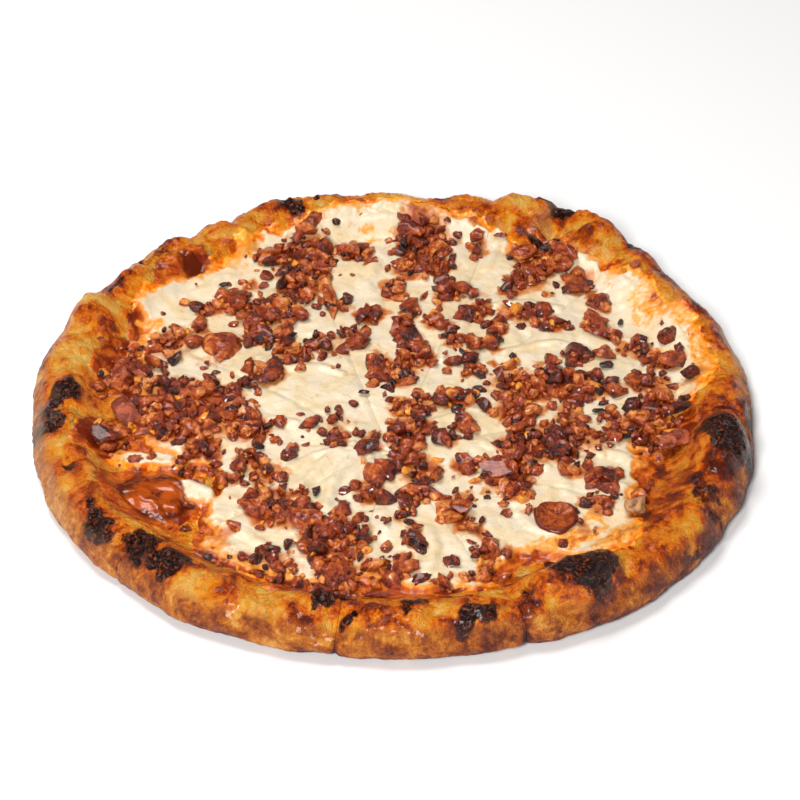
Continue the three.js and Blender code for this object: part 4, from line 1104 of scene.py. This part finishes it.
def baked_bacon():
    material, tree, shader = fresh_material(
        "baked_bacon", Specular_IOR_Level=0.5, Coat_Weight=0.45, Coat_Roughness=0.06,
    )
    middling = grain(tree, 240, 5, 0.65, 0.6)
    fine = grain(tree, 800, 4, 0.7)
    tone = weighed(tree, [(unsettled(tree, "tone", middling, 1.1), 1.0), (fine, 0.5), (1.0, -0.25)])
    stops = [
        (0, (18, 5, 2)), (0.14, (50, 10, 1)), (0.3, (98, 24, 1)), (0.46, (148, 48, 4)),
        (0.62, (192, 86, 18)), (0.78, (230, 144, 72)), (0.95, (246, 152, 30)),
    ]
    tree.links.new(coloured(tree, tone, stops), shader.inputs["Base Color"])
    roughened(tree, shader, fine, middling, 0.06, 0.0018, 0.85, 0.7)
    return material


bacon_material = baked_bacon()
x, y, length, width, turn = fused_crumbs().T
coarse = strewn_places(seed=211, count=940, smallest=5.6, largest=12.5, packing=0.44, pile=2.0, stray=0.06)
small = strewn_places(seed=221, count=1100, smallest=2.4, largest=5, packing=0.6, pile=3.0, stray=0.05)
burnt = [
    (u, v, float(topping_top(np.array([u]), np.array([v]))[0][0]) + 1.4, length, width, 0.6 * width, turn, 0.08)
    for u, v, length, width, turn in BURNT_BITS
]
draw = np.random.default_rng(201)
tone = np.clip(0.42 + 0.12 * draw.normal(size=len(x)), 0.15, 0.7)
level = cheese_level(x, y) + 0.12 * CRUMB_BODY * length
largest = np.stack([x, y, level, length, width, CRUMB_BODY * length, turn, tone], axis=1)
strewn_crumbs("largest_bacon_crumbs", 3, largest, 203, 9, 0.3, bacon_material)
strewn_crumbs("coarse_bacon_crumbs", 2, coarse, 213, 6, 0.25, bacon_material)
strewn_crumbs("fine_bacon_crumbs", 2, np.vstack([small, burnt]), 223, 4, 0.2, bacon_material)

# ---------- bacon chunks ----------
# The larger pieces, which did not crumble: lean bacon with a rim of amber fat, ragged where it
# tore. Each lies pressed into the cheese.
CHUNK_DETAIL = 4


def knobbly(x, y, z, size, seed):
    """An uneven field in three dimensions, from three crossing ones."""
    fields = lumps(x, y, size, seed) + lumps(y + 31, z, size, seed + 1) + lumps(z + 57, x + 13, size, seed + 2)
    return 0.55 * fields


def torn_chunk(name, place, index, grain_depth, tone, material, facets=0, detail=CHUNK_DETAIL):
    """Replaces the solid nugget of the same name with a torn one of the same place and size."""
    x, y, length, width, height, turn = place
    draws = drawn_from(31 + 17 * index)
    phase = [9 * next(draws) for _ in range(3)]
    ball, template = ball_points(detail)
    u, v, w = ball.T / 2
    swell = 1 + 0.13 * (np.sin(7 * u + phase[0]) + np.sin(8 * v + phase[1]) + np.sin(7 * w + phase[2]))
    u, v, w = u * swell * length, v * swell * width, w * swell * height
    far = 40 * index
    draw = np.random.default_rng(401 + index)
    ways = draw.normal(size=(30, 3))
    near = (ball @ (ways / np.linalg.norm(ways, axis=1, keepdims=True)).T).max(axis=1)
    knobs = np.sqrt(np.clip(1 - (1 - near) / 0.11, 0, 1)) - 0.6
    relief = 0.7 * knobs + 0.5 * knobbly(u + far, v, w, 6, 301) + 0.45 * knobbly(u + far, v, w, 1.9, 309)
    grown = 1 + grain_depth * relief
    a = math.radians(turn)
    u, v, w = u * grown, v * grown, w * grown
    for _ in range(facets):
        side = draw.normal(size=3)
        side /= np.linalg.norm(side)
        flat_at = 0.33 * np.linalg.norm(side * (length, width, height))
        beyond = np.clip(u * side[0] + v * side[1] + w * side[2] - flat_at, 0, None)
        u, v, w = u - beyond * side[0], v - beyond * side[1], w - beyond * side[2]
    edge = step_between(np.array(math.hypot(x, y)), INNER - 8, INNER + 12)
    level = cheese_level(x, y) + 0.2 * height + 5 * edge
    bm = bmesh.new()
    bm.from_mesh(template)
    piece = mesh_object(f"baked_{name}", bm, material)
    turned_x, turned_y = x + u * math.cos(a) - v * math.sin(a), y + u * math.sin(a) + v * math.cos(a)
    set_points(piece.data, np.stack([turned_x, turned_y, level + w], axis=1))
    piece.data.set_sharp_from_angle(angle=math.radians(38))
    lean = knobbly(u + far, v, w, 7, 313)
    # Painted shade: the tone rises with the relief, so with the bacon's colours the knobs are lighter and the
    # creases darker. With ham and mushroom a higher tone is darker brown.
    paint(piece.data, "tone", tone + 0.22 * relief + 0.12 * lean)
    bpy.data.meshes.remove(template)
    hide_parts(name)
    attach(piece, "root")
    return piece


for index, place in enumerate(BACON_CHUNKS):
    tone = 0.38 + 0.1 * math.sin(7.3 * index)
    torn_chunk(f"bacon_chunk_{index + 1:02d}", place, index, 0.34, tone, bacon_material, 3)
torn_chunk("bacon_strip", BACON_STRIP, 62, 0.16, 0.62, bacon_material)
torn_chunk("glazed_chunk", GLAZED_CHUNK, 60, 0.07, 0.56, bacon_material)

# ---------- ham ----------
# Four torn bits of cooked ham at the edge of the cheese, pink inside and browned at the corners,
# and thin flakes that broke off them. They were strewn before baking, and lie sunk in the topping.


def cooked_ham():
    material, tree, shader = fresh_material(
        "cooked_ham", Specular_IOR_Level=0.4, Coat_Weight=0.3, Coat_Roughness=0.1,
        Subsurface_Weight=0.15, Subsurface_Radius=(1.0, 0.4, 0.25), Subsurface_Scale=0.002,
    )
    middling = grain(tree, 180, 4, 0.6, 0.8)
    fine = grain(tree, 800, 4, 0.7)
    pink = laid(tree, (180, 88, 52), middling, 0.4, 0.6, (120, 40, 16))
    edge = laid(tree, pink, unsettled(tree, "tone", middling, 0.5), 0.5, 0.75, (112, 34, 8))
    tree.links.new(edge, shader.inputs["Base Color"])
    roughened(tree, shader, fine, middling, 0.1, 0.0016, 0.8)
    return material


# Thin flakes that broke off the ham: x, y, length, width and turn of each.
HAM_FLAKES = [
    (-144, 45, 8, 5, 60), (-130, 28, 11, 7, 20), (-123, 22, 10, 6, -30), (-135, 35, 8, 6, 80),
    (-114, 30, 12, 5, -45), (-124, -9, 8, 6, 10), (-117, -22, 15, 9, 25), (-121, -46, 10, 5, 15),
    (-107, -4, 9, 6, 70), (-140, 14, 9, 6, 50), (93, -66, 13, 5, 15), (99, -75, 11, 5, -20),
    (97, -60, 10, 4, 30), (104, -68, 9, 5, 80), (-21, -140, 12, 4, 5), (-6, -142, 13, 4, -8),
    (-34, -139, 9, 4, 20), (100, -14, 12, 4, 75), (103, -26, 10, 4, 100), (112, 6, 8, 5, 20),
    (126, -14, 9, 6, 60), (20, 140, 9, 6, 30), (-52, 130, 10, 6, 70), (-36, 112, 9, 5, 20), (60, 100, 8, 5, 0),
    (-88, 14, 9, 5, 30), (-96, -24, 10, 6, -20), (-74, -4, 9, 5, 50), (2, 60, 8, 5, 90), (30, 6, 9, 5, 10),
    (66, 14, 9, 5, -30), (92, 4, 10, 5, 20), (78, -30, 10, 5, 0), (60, -28, 8, 5, 40), (-30, -96, 10, 6, 30),
    (-56, -74, 9, 5, 100), (-84, -52, 8, 5, 60), (124, 100, 10, 5, 50), (56, 134, 9, 5, 10),
    (-66, 96, 8, 5, 45),
]
ham_material = cooked_ham()
x, y, length, width, turn = np.array(HAM_FLAKES, float).T
draw = np.random.default_rng(241)
level = topping_top(x, y)[0] + draw.uniform(0.4, 1.6, len(x))
flakes = np.stack([x, y, level, length, width, 0.28 * length, turn, draw.uniform(0.3, 0.6, len(x))], axis=1)
strewn_crumbs("ham_flakes", 3, flakes, 243, 8, 0.3, ham_material)
for index, place in enumerate(HAM_PIECES):
    torn_chunk(f"ham_piece_{index + 1}", place, 50 + index, 0.32, 0.45, ham_material, 4)

# ---------- mushroom ----------
# One piece of mushroom, tan with a darker rim where it dried in the oven. It lies half under the
# cheese that melted round it.


def cooked_mushroom():
    material, tree, shader = fresh_material(
        "cooked_mushroom", Specular_IOR_Level=0.25,
        Subsurface_Weight=0.12, Subsurface_Radius=(1.0, 0.6, 0.4), Subsurface_Scale=0.002,
    )
    middling = grain(tree, 200, 4, 0.6, 0.5)
    fine = grain(tree, 900, 4, 0.7)
    tan = laid(tree, (196, 146, 100), middling, 0.4, 0.62, (142, 92, 58))
    rim = laid(tree, tan, unsettled(tree, "tone", middling, 0.4), 0.52, 0.7, (96, 46, 20))
    tree.links.new(rim, shader.inputs["Base Color"])
    roughened(tree, shader, fine, middling, 0.3, 0.0012, 0.6)
    return material


torn_chunk("mushroom_piece", MUSHROOM_PIECE, 61, 0.08, 0.5, cooked_mushroom(), 9)

# ---------- pepperoni ----------
# One thin round slice of cured sausage, dark red with flecks of fat. It was laid on the cheese, and
# its edge curled up and darkened as it baked.
PEPPERONI_RADIUS = 11
PEPPERONI_PROFILE = [
    (0, -1.2), (3.5, -1.05), (6.6, -0.72), (8.8, -0.3), (10.34, 0), (10.85, 0.7), (11, 1.5), (10.6, 2.4),
    (9.9, 3), (9, 2.85), (7.6, 2.4), (6.05, 2.16), (3.5, 1.9), (0, 1.8),
]


def cured_sausage():
    material, tree, shader = fresh_material(
        "cured_sausage", Specular_IOR_Level=0.25, Coat_Weight=0.25, Coat_Roughness=0.1,
    )
    middling = grain(tree, 340, 5, 0.7, 0.6)
    fine = grain(tree, 900, 4, 0.7)
    meat = laid(tree, (184, 82, 20), middling, 0.4, 0.62, (108, 32, 6))
    fat = laid(tree, meat, fine, 0.56, 0.7, (206, 120, 58))
    rim = laid(tree, fat, unsettled(tree, "tone", middling, 0.3), 0.45, 0.8, (112, 32, 6))
    tree.links.new(rim, shader.inputs["Base Color"])
    roughened(tree, shader, fine, middling, 0.16, 0.0014, 0.8, 0.7)
    return material


def turned_slice(profile, steps):
    """Turns an outline round the upright axis, through a bmesh spin."""
    bm = bmesh.new()
    verts = [bm.verts.new((radius * MM, 0, height * MM)) for radius, height in profile]
    edges = [bm.edges.new(pair) for pair in zip(verts, verts[1:])]
    bmesh.ops.spin(
        bm, geom=verts + edges, cent=(0, 0, 0), axis=(0, 0, 1), dvec=(0, 0, 0),
        angle=2 * math.pi, steps=steps, use_merge=True,
    )
    bmesh.ops.remove_doubles(bm, verts=bm.verts, dist=1e-6)
    bmesh.ops.recalc_face_normals(bm, faces=bm.faces)
    return bm


sausage = mesh_object("cured_pepperoni", turned_slice(PEPPERONI_PROFILE, 64), cured_sausage())
x, y, z = points_of(sausage.data).T
radius = np.hypot(x, y)
z = z + 0.9 * knobbly(x, y, z, 2.6, 331) + 0.7 * ripple(x, y, 4) * (radius / PEPPERONI_RADIUS) ** 2
wavy = 1 + 0.1 * rough(x + 40, y, 7, 335) - 0.04
u, v = PEPPERONI_PLACE[:2]
level = float(cheese_level(np.array(u), np.array(v)))
paint(sausage.data, "tone", step_between(radius, 7.5, 11))
set_points(sausage.data, np.stack([u + x * wavy, v + y * wavy, level + z], axis=1))
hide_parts("pepperoni_slice")
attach(sausage, "root")

# ---------- bent bacon ----------
# A thin strip of bacon that curled into an arc as its fat rendered. It lies on its side, held by the
# cheese under it.
ARC_RADIUS = 14
ARC_BAR = 3.6
ARC_FROM = 15
ARC_SWEEP = 110
ARC_STEPS = 44

bm = bmesh.new()
ring = bmesh.ops.create_circle(bm, segments=18, radius=ARC_BAR / 2 * MM)["verts"]
bmesh.ops.rotate(bm, verts=ring, cent=(0, 0, 0), matrix=Matrix.Rotation(math.pi / 2, 3, "X"))
bmesh.ops.translate(bm, verts=ring, vec=(ARC_RADIUS * MM, 0, 0))
edges = bm.edges[:]
start = bmesh.ops.contextual_create(bm, geom=edges)["faces"]
bmesh.ops.spin(
    bm, geom=ring + edges + start, cent=(0, 0, 0), axis=(0, 0, 1), dvec=(0, 0, 0),
    angle=math.radians(ARC_SWEEP), steps=ARC_STEPS,
)
bmesh.ops.recalc_face_normals(bm, faces=bm.faces)
arc = mesh_object("bent_bacon", bm, bacon_material)
x, y, z = points_of(arc.data).T
u, v = BACON_ARC_PLACE[:2]
level = float(cheese_level(np.array(u), np.array(v))) + 0.8
a = math.radians(ARC_FROM)
relief = knobbly(x, y, z, 4, 341) + 0.5 * knobbly(x, y, z, 2, 345)
around = np.arctan2(y, x)
swell = 0.8 * relief + 0.5 * np.sin(9 * around)
out = np.hypot(x, y) + swell * (np.hypot(x, y) - ARC_RADIUS) / ARC_BAR
x, y = out * np.cos(around + a), out * np.sin(around + a)
# Painted shade: the tone follows the relief that swells the bar, so the swollen parts are lighter and the narrow
# dips darker.
paint(arc.data, "tone", 0.5 + 0.14 * relief)
set_points(arc.data, np.stack([u + x, v + y, level + z * (1 + 0.2 * swell)], axis=1))
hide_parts("bacon_arc")
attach(arc, "root")
